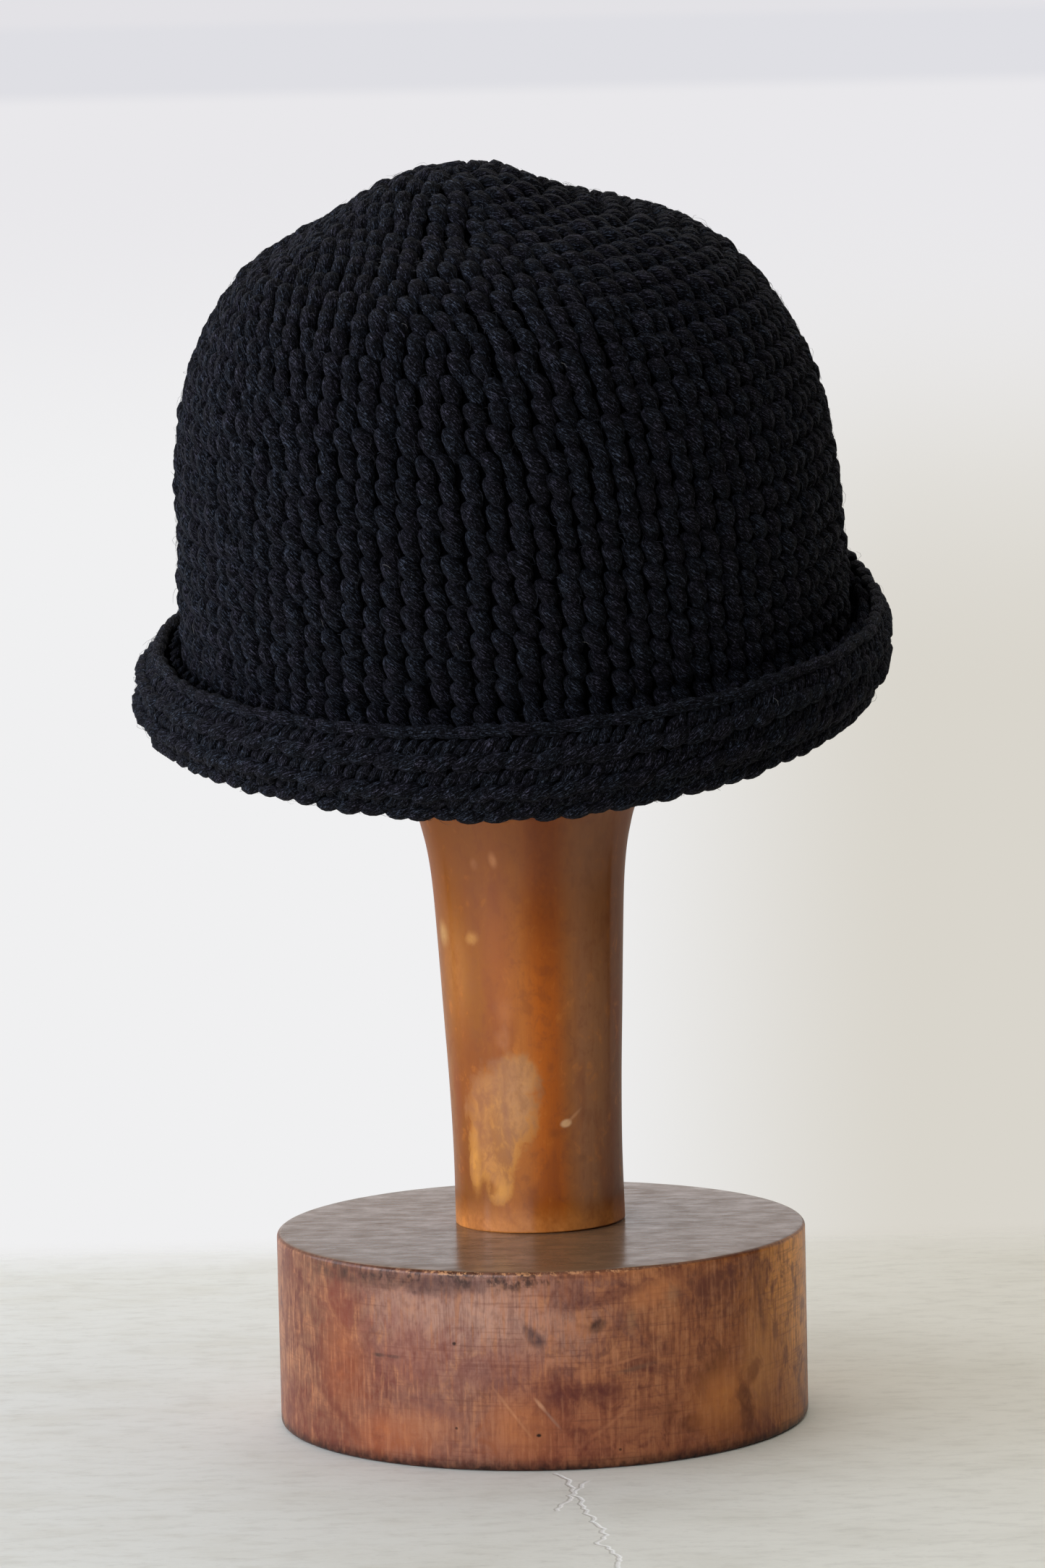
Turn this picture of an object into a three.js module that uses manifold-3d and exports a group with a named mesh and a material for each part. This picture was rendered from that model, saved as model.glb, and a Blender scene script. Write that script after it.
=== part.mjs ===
// Crocheted rolled-brim beanie resting on a turned wooden hat stand.
//
// Millimetres, +Z up. The origin is the middle of the stand's underside. The front is -Y and the
// right is +X. A "turn" is an angle round the vertical axis: 0 is the front, 90 degrees the right,
// 180 the back and 270 the left.

import * as THREE from 'three';
import { mergeVertices } from 'three/addons/utils/BufferGeometryUtils.js';
import Module from 'manifold-3d';

const wasm = await Module();
wasm.setup();

// ---------------------------------------------------------------- driving dimensions

const GAP = 0.3; // clearance where two pieces meet

const BASE_RADIUS = 75;
const BASE_HEIGHT = 54.3;
const BASE_ROUNDING = 1.4; // radius of the worn rims

const TENON_RADIUS = 15;
const TENON_LENGTH = 20;
const SOCKET_RADIUS = TENON_RADIUS + 2 * GAP;
const SOCKET_DEPTH = TENON_LENGTH + 1;

const COLUMN_BACK = 8; // how far the column stands behind the middle of the base
const COLUMN_LEAN = 0.8; // degrees, towards the left
const SHOULDER_GAP = 2 * GAP; // lets the leaning shoulder clear the base all round

const DOME_RADIUS = 56;
const DOME_WAIST = 30; // height of the widest ring above the dome's underside
const DOME_RISE = 117.3; // height of the top above the widest ring

const KNIT_WALL = 5.5; // thickness of the crocheted fabric
const HAT_PLACE = new THREE.Vector3(-4, 8, 210.6); // foot of the hat's own axis
const HAT_TILT = 13; // degrees, front edge down
const HAT_ROLL = 2.2; // degrees, right edge up

const WEDGES = 8; // increase seams round the top of the crown
const WEDGE_DEPTH = 0.03; // how far the flats lie inside the seams, as a share of the radius
const WEDGE_END = 0.7; // where the flats have run out, as a share of the way to the hem

// Turned profile of the column, upwards from its shoulder on the base.
const COLUMN_PROFILE = [
  { height: 0, radius: 24.2 },
  { height: 20, radius: 24.1 },
  { height: 40, radius: 24.6 },
  { height: 60, radius: 25.5 },
  { height: 80, radius: 26.4 },
  { height: 95, radius: 27.2 },
  { height: 104, radius: 28.1 },
  { height: 111, radius: 29.4 },
  { height: 118, radius: 31.5 },
  { height: 126, radius: 36.0 },
  { height: 134, radius: 42.0 },
  { height: 141, radius: 47.5 },
];

// Level sections of the crown's outside, from its tip down to the hem: how far each one reaches
// from the hat's axis to either side, to the front and to the back.
const CROWN_SECTIONS = [
  { height: 145.5, left: 8.5, right: -8.5, front: 0, back: 0 },
  { height: 144, left: 20.5, right: 6.5, front: 14, back: 12 },
  { height: 140.5, left: 32, right: 15, front: 25, back: 22 },
  { height: 133.5, left: 43, right: 34, front: 39, back: 37 },
  { height: 127, left: 55.5, right: 54, front: 56, back: 54 },
  { height: 118, left: 70.5, right: 68, front: 71, back: 69 },
  { height: 106, left: 79.5, right: 78.5, front: 81, back: 80 },
  { height: 91, left: 86, right: 86, front: 88, back: 87 },
  { height: 73, left: 90, right: 91.5, front: 92, back: 92 },
  { height: 50, left: 91.8, right: 94.2, front: 94, back: 94 },
  { height: 26, left: 93, right: 95.3, front: 95, back: 95 },
  { height: 3, left: 93, right: 95.3, front: 95, back: 95 },
];

// Middle line of the brim's fabric, from the crown's hem down, out and up to the lip.
const BRIM_PATH = [
  { out: 0, up: 0 },
  { out: 0, up: -4 },
  { out: 2, up: -8.5 },
  { out: 6, up: -11 },
  { out: 10.5, up: -9.8 },
  { out: 13.8, up: -5 },
  { out: 14.6, up: 1 },
  { out: 13.6, up: 7 },
  { out: 10.8, up: 11.5 },
];

// How the brim strays from that line at every eighth of a turn from the front: bulge pushes the
// roll outwards, fold lifts its underside, lip lifts its edge and flare opens its edge.
const BRIM_SWAY = [
  { bulge: 0, fold: -0.4, lip: 0, flare: 0 },
  { bulge: -1.5, fold: 1.7, lip: 1.8, flare: 1 },
  { bulge: -3.5, fold: 4, lip: 1.5, flare: 1 },
  { bulge: -0.5, fold: 3, lip: 9.5, flare: 1.5 },
  { bulge: 0, fold: 0.5, lip: 6, flare: 0 },
  { bulge: 0.5, fold: 0, lip: 0, flare: 0 },
  { bulge: 1.8, fold: 1, lip: 0.5, flare: -1 },
  { bulge: 0, fold: 2.3, lip: 0.5, flare: 0 },
];

const BASE_SIDES = 64;
const COLUMN_SIDES = 40;
const HAT_SIDES = 56;
const ARC_STEPS = 3; // straight steps in a rounded rim
const COLUMN_STEPS = 20;
const DOME_STEPS = 12;
const CROWN_OUTER_ROWS = 24;
const CROWN_INNER_ROWS = 14;
const BRIM_ROWS = 9;

// ---------------------------------------------------------------- shapes shared by the pieces

const radians = THREE.MathUtils.degToRad;

// Smooth curve through one column of a table; t is 0 at the first row and 1 at the last.
function along(rows, column, t) {
  const last = rows.length - 1;
  const place = THREE.MathUtils.clamp(t, 0, 1) * last;
  const row = Math.min(Math.floor(place), last - 1);
  const start = rows[row][column];
  const end = rows[row + 1][column];
  const before = row > 0 ? rows[row - 1][column] : 2 * start - end;
  const after = row + 2 <= last ? rows[row + 2][column] : 2 * end - start;
  return catmullRom(before, start, end, after, place - row);
}

// The same round a closed table whose rows stand at equal turns from the front.
function around(rows, column, turn) {
  const place = THREE.MathUtils.euclideanModulo(turn / (2 * Math.PI), 1) * rows.length;
  const row = Math.floor(place);
  const value = (step) => rows[(row + step + rows.length) % rows.length][column];
  return catmullRom(value(-1), value(0), value(1), value(2), place - row);
}

function catmullRom(before, start, end, after, f) {
  const slope = (end - before) * f;
  const square = (2 * before - 5 * start + 4 * end - after) * f * f;
  const cube = (3 * start - before - 3 * end + after) * f * f * f;
  return start + 0.5 * (slope + square + cube);
}

// Quarter-round corner points between two angles, in degrees, about a centre.
function corner(centreRadius, centreHeight, rounding, fromAngle, toAngle) {
  return Array.from({ length: ARC_STEPS + 1 }, (_, step) => {
    const angle = radians(THREE.MathUtils.lerp(fromAngle, toAngle, step / ARC_STEPS));
    return new THREE.Vector2(
      centreRadius + rounding * Math.cos(angle),
      centreHeight + rounding * Math.sin(angle),
    );
  });
}

// Solid of revolution about +Z; the profile's x is the radius and its y the height.
function turned(profile, sides) {
  return new THREE.LatheGeometry(profile, sides).rotateX(Math.PI / 2);
}

// Ring or cap whose points are set one by one: place(turn, step) gives the point of each step of
// the closed section at each turn.
function wrapped(steps, sides, place) {
  const section = Array.from({ length: steps }, (_, step) => new THREE.Vector2(1, step));
  const geometry = new THREE.LatheGeometry(section, sides);
  const position = geometry.getAttribute('position');
  for (let side = 0; side <= sides; side += 1) {
    const turn = ((side % sides) / sides) * 2 * Math.PI;
    for (let step = 0; step < steps; step += 1) {
      const point = place(turn, step);
      position.setXYZ(side * steps + step, point.x, point.y, point.z);
    }
  }
  geometry.computeVertexNormals();
  return geometry;
}

// The manifold-3d solid of a closed geometry, welded and without its flat triangles at the axis.
function solid(geometry) {
  const bare = geometry.clone();
  bare.deleteAttribute('normal');
  bare.deleteAttribute('uv');
  const welded = mergeVertices(bare, 1e-4);
  const corners = welded.index.array;
  const triVerts = [];
  for (let i = 0; i < corners.length; i += 3) {
    const [a, b, c] = corners.slice(i, i + 3);
    if (a !== b && b !== c && c !== a) {
      triVerts.push(a, b, c);
    }
  }
  const vertProperties = new Float32Array(welded.getAttribute('position').array);
  const mesh = { numProp: 3, vertProperties, triVerts: new Uint32Array(triVerts) };
  return new wasm.Manifold(new wasm.Mesh(mesh));
}

// A geometry with the space of another one cut out of it.
function cut(geometry, tool) {
  const { vertProperties, triVerts } = solid(geometry).subtract(solid(tool)).getMesh();
  const result = new THREE.BufferGeometry();
  result.setAttribute('position', new THREE.BufferAttribute(vertProperties, 3));
  result.setIndex(new THREE.BufferAttribute(triVerts, 1));
  result.computeVertexNormals();
  return result;
}

function piece(name, geometry, color, roughness) {
  const material = new THREE.MeshStandardMaterial({ color, roughness, metalness: 0 });
  const mesh = new THREE.Mesh(geometry, material);
  mesh.name = name;
  return mesh;
}

// ---------------------------------------------------------------- stand

// Thick round foot with a blind socket for the column's tenon.
function standBase() {
  const edge = BASE_ROUNDING;
  const drum = turned([
    new THREE.Vector2(0, 0),
    ...corner(BASE_RADIUS - edge, edge, edge, -90, 0),
    ...corner(BASE_RADIUS - edge, BASE_HEIGHT - edge, edge, 0, 90),
    new THREE.Vector2(0, BASE_HEIGHT),
  ], BASE_SIDES);
  const bore = new THREE.CylinderGeometry(SOCKET_RADIUS, SOCKET_RADIUS, 2 * SOCKET_DEPTH, COLUMN_SIDES);
  bore.rotateX(Math.PI / 2).translate(0, COLUMN_BACK, BASE_HEIGHT);
  return cut(drum, bore);
}

// Trumpet-shaped column with a tenon at each end.
function standColumn() {
  const top = COLUMN_PROFILE.at(-1).height;
  const profile = [
    new THREE.Vector2(0, -TENON_LENGTH),
    new THREE.Vector2(TENON_RADIUS, -TENON_LENGTH),
    new THREE.Vector2(TENON_RADIUS, 0),
  ];
  for (let step = 0; step <= COLUMN_STEPS; step += 1) {
    const t = step / COLUMN_STEPS;
    const radius = along(COLUMN_PROFILE, 'radius', t);
    profile.push(new THREE.Vector2(radius, along(COLUMN_PROFILE, 'height', t)));
  }
  profile.push(new THREE.Vector2(TENON_RADIUS, top));
  profile.push(new THREE.Vector2(TENON_RADIUS, top + TENON_LENGTH));
  profile.push(new THREE.Vector2(0, top + TENON_LENGTH));
  return turned(profile, COLUMN_SIDES);
}

// Plain mushroom dome on the column: flat underside with a socket, a tucked-in foot and a round top.
function standDome() {
  const footRadius = COLUMN_PROFILE.at(-1).radius;
  const profile = [
    new THREE.Vector2(0, SOCKET_DEPTH),
    new THREE.Vector2(SOCKET_RADIUS, SOCKET_DEPTH),
    new THREE.Vector2(SOCKET_RADIUS, 0),
  ];
  for (let step = 0; step < ARC_STEPS; step += 1) {
    const lift = step / ARC_STEPS;
    const swell = Math.sin((lift * Math.PI) / 2);
    const radius = THREE.MathUtils.lerp(footRadius, DOME_RADIUS, swell);
    profile.push(new THREE.Vector2(radius, DOME_WAIST * lift));
  }
  for (let step = 0; step <= DOME_STEPS; step += 1) {
    const angle = ((step / DOME_STEPS) * Math.PI) / 2;
    const height = DOME_WAIST + DOME_RISE * Math.sin(angle);
    const radius = step < DOME_STEPS ? DOME_RADIUS * Math.cos(angle) : 0;
    profile.push(new THREE.Vector2(radius, height));
  }
  return turned(profile, COLUMN_SIDES);
}

// ---------------------------------------------------------------- hat

// Point on the crown's outside; t is 0 at the tip and 1 at the hem.
function crownOutside(turn, t) {
  const left = along(CROWN_SECTIONS, 'left', t);
  const right = along(CROWN_SECTIONS, 'right', t);
  const front = along(CROWN_SECTIONS, 'front', t);
  const back = along(CROWN_SECTIONS, 'back', t);
  const fade = Math.sin(Math.PI * Math.min(t / WEDGE_END, 1)) ** 2;
  const flat = (1 + Math.cos(WEDGES * turn)) / 2;
  const share = 1 - WEDGE_DEPTH * fade * flat;
  return new THREE.Vector3(
    (right - left) / 2 + ((right + left) / 2) * share * Math.sin(turn),
    (back - front) / 2 - ((back + front) / 2) * share * Math.cos(turn),
    along(CROWN_SECTIONS, 'height', t),
  );
}

// Point one fabric thickness inside the crown's outside.
function crownInside(turn, t) {
  const point = crownOutside(turn, t);
  if (t === 0) {
    return point.setZ(point.z - KNIT_WALL);
  }
  const nudge = 0.002;
  const down = crownOutside(turn, t + nudge).sub(crownOutside(turn, t - nudge));
  const sideways = crownOutside(turn + nudge, t).sub(crownOutside(turn - nudge, t));
  const outward = down.cross(sideways).normalize();
  return point.addScaledVector(outward, -KNIT_WALL);
}

// Hollow crown: its inside from the tip to the hem, then its outside back up to the tip.
function crown() {
  const steps = CROWN_INNER_ROWS + CROWN_OUTER_ROWS + 2;
  return wrapped(steps, HAT_SIDES, (turn, step) => {
    if (step <= CROWN_INNER_ROWS) {
      return crownInside(turn, step / CROWN_INNER_ROWS);
    }
    return crownOutside(turn, (steps - 1 - step) / CROWN_OUTER_ROWS);
  });
}

// Point of the brim; s is 0 at the hem and 1 at the lip. The side is 1 on the face towards the
// gutter, -1 on the face that shows, and past the lip the point rounds the fabric's edge.
function brimPoint(turn, s, side, beyond) {
  const nudge = 0.01;
  const near = Math.max(s - nudge, 0);
  const far = Math.min(s + nudge, 1);
  const run = new THREE.Vector2(
    along(BRIM_PATH, 'out', far) - along(BRIM_PATH, 'out', near),
    along(BRIM_PATH, 'up', far) - along(BRIM_PATH, 'up', near),
  ).normalize();
  const half = KNIT_WALL / 2;
  const middle = Math.sin(Math.PI * s);
  const edge = s * s;
  const sway = (column) => around(BRIM_SWAY, column, turn);
  const out = along(BRIM_PATH, 'out', s) + sway('bulge') * middle + sway('flare') * edge
    + half * (beyond * run.x - side * run.y);
  const up = along(BRIM_PATH, 'up', s) + sway('fold') * middle + sway('lip') * edge
    + half * (beyond * run.y + side * run.x);
  const { height, left, right, front, back } = CROWN_SECTIONS.at(-1);
  const wide = (right + left) / 2 - half + out;
  const deep = (back + front) / 2 - half + out;
  return new THREE.Vector3(
    (right - left) / 2 + wide * Math.sin(turn),
    (back - front) / 2 - deep * Math.cos(turn),
    height - GAP + up,
  );
}

// Rolled brim: along the face that shows to the lip, round it, and back along the gutter.
function brim() {
  const section = [];
  for (let row = 0; row <= BRIM_ROWS; row += 1) {
    section.push({ s: row / BRIM_ROWS, side: -1, beyond: 0 });
  }
  section.push({ s: 1, side: -0.6, beyond: 0.8 });
  section.push({ s: 1, side: 0.6, beyond: 0.8 });
  for (let row = BRIM_ROWS; row >= 0; row -= 1) {
    section.push({ s: row / BRIM_ROWS, side: 1, beyond: 0 });
  }
  section.push(section[0]);
  return wrapped(section.length, HAT_SIDES, (turn, step) => {
    const { s, side, beyond } = section[step];
    return brimPoint(turn, s, side, beyond);
  });
}

// ---------------------------------------------------------------- assembly

const beanieOnStand = new THREE.Group();

beanieOnStand.add(piece('stand_base', standBase(), 0x7a3a22, 0.45));

const upright = new THREE.Group();
upright.position.set(0, COLUMN_BACK, BASE_HEIGHT + SHOULDER_GAP);
upright.rotation.y = -radians(COLUMN_LEAN);
beanieOnStand.add(upright);

upright.add(piece('stand_column', standColumn(), 0xa65a26, 0.35));

const dome = piece('stand_dome', standDome(), 0x9a5a2c, 0.4);
dome.position.z = COLUMN_PROFILE.at(-1).height + GAP;
upright.add(dome);

const hat = new THREE.Group();
hat.position.copy(HAT_PLACE);
hat.rotation.order = 'YXZ';
hat.rotation.set(radians(HAT_TILT), -radians(HAT_ROLL), 0);
beanieOnStand.add(hat);

hat.add(piece('crown', crown(), 0x15171c, 0.95));
hat.add(piece('brim', brim(), 0x15171c, 0.95));

export default beanieOnStand;
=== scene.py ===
# %% [markdown]
# # A crocheted beanie on a turned hat stand
#
# The object is a chunky black wool beanie with a rolled brim. It hangs on a plain wooden hat
# stand: a thick round base, a trumpet-shaped column and a dome that the hat hides. The packed
# CAD model gives every piece its size and place. This script dresses it: it lays each crochet
# stitch in yarn, gives the wood its grain and wear, and sets up a small studio.
#
# The first step loads that model as a fixed frame.

# %% Load the frame
import math

import bmesh
import bpy
import numpy as np
from mathutils import Matrix, Vector


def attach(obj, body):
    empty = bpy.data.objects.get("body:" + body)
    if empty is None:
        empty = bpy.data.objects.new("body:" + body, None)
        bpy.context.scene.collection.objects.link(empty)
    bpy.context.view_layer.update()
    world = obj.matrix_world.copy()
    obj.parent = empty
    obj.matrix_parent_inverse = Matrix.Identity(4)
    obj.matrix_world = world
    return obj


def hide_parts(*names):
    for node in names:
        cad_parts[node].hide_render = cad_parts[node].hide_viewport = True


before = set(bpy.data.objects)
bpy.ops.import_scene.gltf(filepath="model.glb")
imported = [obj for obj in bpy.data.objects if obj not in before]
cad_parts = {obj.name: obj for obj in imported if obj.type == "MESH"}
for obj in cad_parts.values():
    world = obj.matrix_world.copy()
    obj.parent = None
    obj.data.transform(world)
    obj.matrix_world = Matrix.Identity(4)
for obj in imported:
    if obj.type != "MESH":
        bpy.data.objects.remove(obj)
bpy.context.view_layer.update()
MM = 0.001
print("nodes:", sorted(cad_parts))

# %% [markdown]
# ## Camera
#
# A portrait lens a good metre away looks slightly down on the hat. The lens is named by its
# focal length over a 36 mm tall frame. The camera leans by about one degree, as a hand-held
# one does.

# %% Camera
CAMERA_PLACE = (-0.0024, -1.287, 0.279)
CAMERA_DOWN = 4.41
CAMERA_LEAN = -1.28
LENS = 105.03
FRAME_HEIGHT = 36

lens = bpy.data.cameras.new("portrait_lens")
lens.sensor_fit = "VERTICAL"
lens.sensor_height = FRAME_HEIGHT
lens.lens = LENS
lens.clip_end = 50
camera = bpy.data.objects.new("camera", lens)
camera.matrix_world = (
    Matrix.Translation(CAMERA_PLACE)
    @ Matrix.Rotation(math.radians(90 - CAMERA_DOWN), 4, "X")
    @ Matrix.Rotation(math.radians(CAMERA_LEAN), 4, "Z")
)
bpy.context.scene.collection.objects.link(camera)
bpy.context.scene.camera = camera
print("camera", CAMERA_PLACE, "lens", LENS, "mm")

# %% [markdown]
# ## Shader and node maths as Python
#
# Node trees are easier to read as sums than as boxes and wires. `Wire` holds one output socket
# and overloads the operators, so `1 - mask * 0.5` adds its own Math nodes. Any other node comes
# from `node`, which takes a node's type, its settings and its sockets. The same class serves
# the materials and the Geometry Nodes trees.

# %% A wire that does sums
def sum_of(operation, turned=False):
    """A method that adds one Math node; turned gives it its values the other way round."""
    def method(*values):
        return values[0].maths(operation, *(values[::-1] if turned else values))
    return method


class Wire:
    """An output socket. Sums and products of it add Math nodes to its tree."""

    def __init__(self, tree, socket=None):
        self.tree = tree
        self.socket = socket

    def node(self, kind, settings=None, sockets=None, output=0):
        """Adds a node: its settings first, then the values or links of its sockets."""
        made = self.tree.nodes.new(kind)
        for name, value in (settings or {}).items():
            if name == "stops":
                fill_ramp(made.color_ramp.elements, value)
            else:
                setattr(made, name, value)
        for name, value in (sockets or {}).items():
            if isinstance(value, Wire):
                self.tree.links.new(value.socket, made.inputs[name])
            else:
                made.inputs[name].default_value = value
        return Wire(self.tree, made.outputs[output] if made.outputs else None)

    def other(self, output):
        """Another output of the node that this wire comes from."""
        return Wire(self.tree, self.socket.node.outputs[output])

    def parts(self):
        """The three parts of a vector."""
        split = self.node("ShaderNodeSeparateXYZ", {}, {0: self})
        return split, split.other(1), split.other(2)

    def maths(self, operation, *values):
        return self.node("ShaderNodeMath", {"operation": operation}, dict(enumerate(values)))

    __add__ = __radd__ = sum_of("ADD")
    __mul__ = __rmul__ = sum_of("MULTIPLY")
    __sub__, __rsub__ = sum_of("SUBTRACT"), sum_of("SUBTRACT", turned=True)
    __truediv__, __pow__, __abs__ = map(sum_of, ("DIVIDE", "POWER", "ABSOLUTE"))
    least, most = sum_of("MINIMUM"), sum_of("MAXIMUM")

    def fade(self, low, high):
        """0 below low and 1 above high, with a soft step between them."""
        settings = {"interpolation_type": "SMOOTHSTEP"}
        return self.node("ShaderNodeMapRange", settings, {0: self, 1: low, 2: high})


def fill_ramp(ramp, stops):
    """Sets a colour ramp's stops, each a place from 0 to 1 and a linear colour."""
    while len(ramp) < len(stops):
        ramp.new(1)
    for stop, (place, tone) in zip(ramp, stops):
        stop.position = place
        stop.color = (*tone, 1)


# %% Colours and patterns
def new_finish(name):
    """An empty material and the wire that its nodes are added with."""
    material = bpy.data.materials.new(name)
    material.use_nodes = True
    material.node_tree.nodes.clear()
    return material, Wire(material.node_tree)


def linear(red, green, blue):
    """A colour as an eye names it, 0 to 255, made linear for a shader socket."""
    tones = [value / 255 for value in (red, green, blue)]
    return [t / 12.92 if t <= 0.04045 else ((t + 0.055) / 1.055) ** 2.4 for t in tones]


def tint(red, green, blue):
    return (*linear(red, green, blue), 1)


def blend(share, one, other):
    """A colour between two others, each a wire or a tone as an eye names it."""
    one, other = (tone if isinstance(tone, Wire) else tint(*tone) for tone in (one, other))
    settings = {"data_type": "RGBA"}
    return share.node("ShaderNodeMix", settings, {0: share, 6: one, 7: other}, output=2)


def layered(tone, *layers):
    """A colour with layers laid over it in turn, each a share and a tone."""
    for share, colour in layers:
        tone = blend(share, tone, colour)
    return tone


def toned_along(value, rows):
    """A colour that runs smoothly through a table of rows of value and tone."""
    low, high = rows[0][0], rows[-1][0]
    stops = [((at - low) / (high - low), linear(*tone)) for at, tone in rows]
    share = (value - low) / (high - low)
    return value.node("ShaderNodeValToRGB", {"stops": stops}, {0: share})


def object_place(wire):
    return wire.node("ShaderNodeTexCoord", output="Object")


def joined(x, y, z):
    """A vector of three wires."""
    return x.node("ShaderNodeCombineXYZ", {}, {0: x, 1: y, 2: z})


def stretched(place, *size):
    """Coordinates counted in a pattern's own size, in millimetres along each axis."""
    sockets = {"Vector": place, "Scale": tuple(side * MM for side in size)}
    return place.node("ShaderNodeMapping", {"vector_type": "TEXTURE"}, sockets)


def cloudy(place, detail=3.0, roughness=0.5, bend=0.0):
    """Soft noise from 0 to 1, whose blotches are about one unit of the coordinates wide."""
    return place.node("ShaderNodeTexNoise", {}, {
        "Vector": place, "Scale": 1.0, "Detail": detail,
        "Roughness": roughness, "Distortion": bend,
    })


def relief(height, depth, strength):
    """A bump of that depth in millimetres, for a Normal socket."""
    sockets = {"Strength": strength, "Distance": depth * MM, "Height": height}
    return height.node("ShaderNodeBump", {}, sockets)


def finish_with(material, sockets):
    """Ends a material in one Principled BSDF."""
    wire = Wire(material.node_tree)
    shader = wire.node("ShaderNodeBsdfPrincipled", {}, sockets)
    wire.node("ShaderNodeOutputMaterial", {}, {"Surface": shader})
    return material


print("wires and patterns ready")

# %% [markdown]
# ## Studio
#
# The setting is a pale plaster table in front of a near-white wall, in a room with a large
# window on the left. The wall is a far sheet that glows softly, so that it is evenly bright but
# for painted shade low on the right.
# Three more sheets close the room for the other sides, and are only there to be seen. The table
# is small, and its edges fade away softly, as a line that is out of focus does, so the wall
# follows it with no hard edge from any side. The lamps are the window, what the room throws back
# from it, two soft skies above, and weak glows from the right and from below.

# %% Table
TABLE_SIDE = 0.95
TABLE_FRONT = -0.80
TABLE_BACK = 0.30
BACK_FADE = 0.08
FRONT_FADE = 0.20
CRACKS = [((0.004, -0.078), -0.135, 0.12), ((0.010, -0.088), 0.25, 0.03)]  # start, slope, reach
CRACK_WANDER = 0.012
CRACK_END = 0.004


def sheet_mesh(name, corners, finish):
    """A flat sheet or several, each of four corners, for the studio."""
    mesh = bpy.data.meshes.new(name)
    faces = [tuple(range(first, first + 4)) for first in range(0, len(corners), 4)]
    mesh.from_pydata(corners, [], faces)
    mesh.materials.append(finish)
    board = bpy.data.objects.new(name, mesh)
    bpy.context.scene.collection.objects.link(board)
    return board


def crack(across, depth, start, slope, reach):
    """A hairline crack that wanders forwards over the table from its start."""
    sockets = {"W": depth, "Scale": 60.0, "Detail": 3.0}
    wander = depth.node("ShaderNodeTexNoise", {"noise_dimensions": "1D"}, sockets)
    straight = across - start[0] - (depth - start[1]) * slope
    line = 1 - abs(straight + (wander - 0.5) * CRACK_WANDER).fade(0.0002, 0.0009)
    begun = 1 - depth.fade(start[1], start[1] + 0.002)
    return line * begun * depth.fade(start[1] - reach - CRACK_END, start[1] - reach)


def plaster():
    """Trowelled plaster with soft ends and two cracks, with painted shade that makes it darker and
    warmer towards the right and painted light near the front right.
    """
    material, wire = new_finish("pale_plaster")
    place = object_place(wire)
    across, depth, _ = place.parts()
    blotch = cloudy(stretched(place, 60, 30, 50), 4.0, 0.6)
    brushed = cloudy(stretched(place, 12, 5, 4), 4.0, 0.65)
    speck = cloudy(stretched(place, 3, 2, 3), 2.0)
    # painted light: a mask for a lighter patch near the front right of the table
    near = (1 - depth.fade(-0.30, 0.05)) * across.fade(-0.08, 0.1)
    long_crack, short_crack = (crack(across, depth, *row) for row in CRACKS)
    lines = long_crack.most(short_crack)
    tone_with_painted_light = layered(
        # painted shade: darker and warmer towards the right
        blend(across.fade(-0.2, 0.25), (226, 226, 218), (222, 218, 203)),
        (near * 0.8, (240, 238, 224)),
        (blotch.fade(0.42, 0.75) * 0.4, (206, 202, 186)),
        (brushed.fade(0.45, 0.72) * 0.22, (172, 166, 150)),
        (speck.fade(0.6, 0.75) * 0.12, (152, 145, 130)),
        (lines * 0.6, (238, 236, 230)),
    )
    board = wire.node("ShaderNodeBsdfPrincipled", {}, {
        "Base Color": tone_with_painted_light, "Roughness": 0.7, "Specular IOR Level": 0.3,
        "Normal": relief(speck * 0.4 + brushed * 0.4 - lines, 0.4, 0.4),
    })
    sideways = abs(across).fade(TABLE_SIDE - FRONT_FADE, TABLE_SIDE)
    forwards = 1 - depth.fade(TABLE_FRONT, TABLE_FRONT + FRONT_FADE)
    gone = depth.fade(TABLE_BACK - BACK_FADE, TABLE_BACK).most(sideways).most(forwards)
    clear = wire.node("ShaderNodeBsdfTransparent")
    both = wire.node("ShaderNodeMixShader", {}, {0: gone, 1: board, 2: clear})
    wire.node("ShaderNodeOutputMaterial", {}, {"Surface": both})
    return material


sheet_mesh("table", [
    (-TABLE_SIDE, TABLE_FRONT, 0), (TABLE_SIDE, TABLE_FRONT, 0),
    (TABLE_SIDE, TABLE_BACK, 0), (-TABLE_SIDE, TABLE_BACK, 0),
], plaster())
print("table ends", TABLE_BACK, "m behind the middle")

# %% Walls
WALL_AWAY = 3.2
WALL_SIZE = 6.0


def wall_finish():
    """The wall's glow, with painted shade that makes it warmer and darker low on the right, and a
    grey band near the top.
    """
    material, wire = new_finish("wall_glow_with_painted_shade")
    across, _, up = object_place(wire).parts()
    # painted shade: a mask for the lower part, where the right side is warmer and darker
    low = 1 - up.fade(0.0, 0.5)
    glow = layered(
        blend(across.fade(-0.02, 0.4) * (0.2 + 0.8 * low), (240, 240, 241), (217, 213, 204)),
        (up.fade(0.2, 0.55), (233, 232, 235)),
        (up.fade(0.602, 0.62), (223, 223, 228)),
        (up.fade(0.672, 0.686), (227, 226, 230)),
    )
    shine = wire.node("ShaderNodeEmission", {}, {"Color": glow, "Strength": 1.0})
    wire.node("ShaderNodeOutputMaterial", {}, {"Surface": shine})
    return material


def upright_sheets(*stops):
    """Four corners of a wall between each stop on the floor plan and the next."""
    return [
        (*stop, height) for start, end in zip(stops, stops[1:])
        for stop, height in (
            (start, -WALL_SIZE), (end, -WALL_SIZE), (end, WALL_SIZE), (start, WALL_SIZE),
        )
    ]


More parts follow.
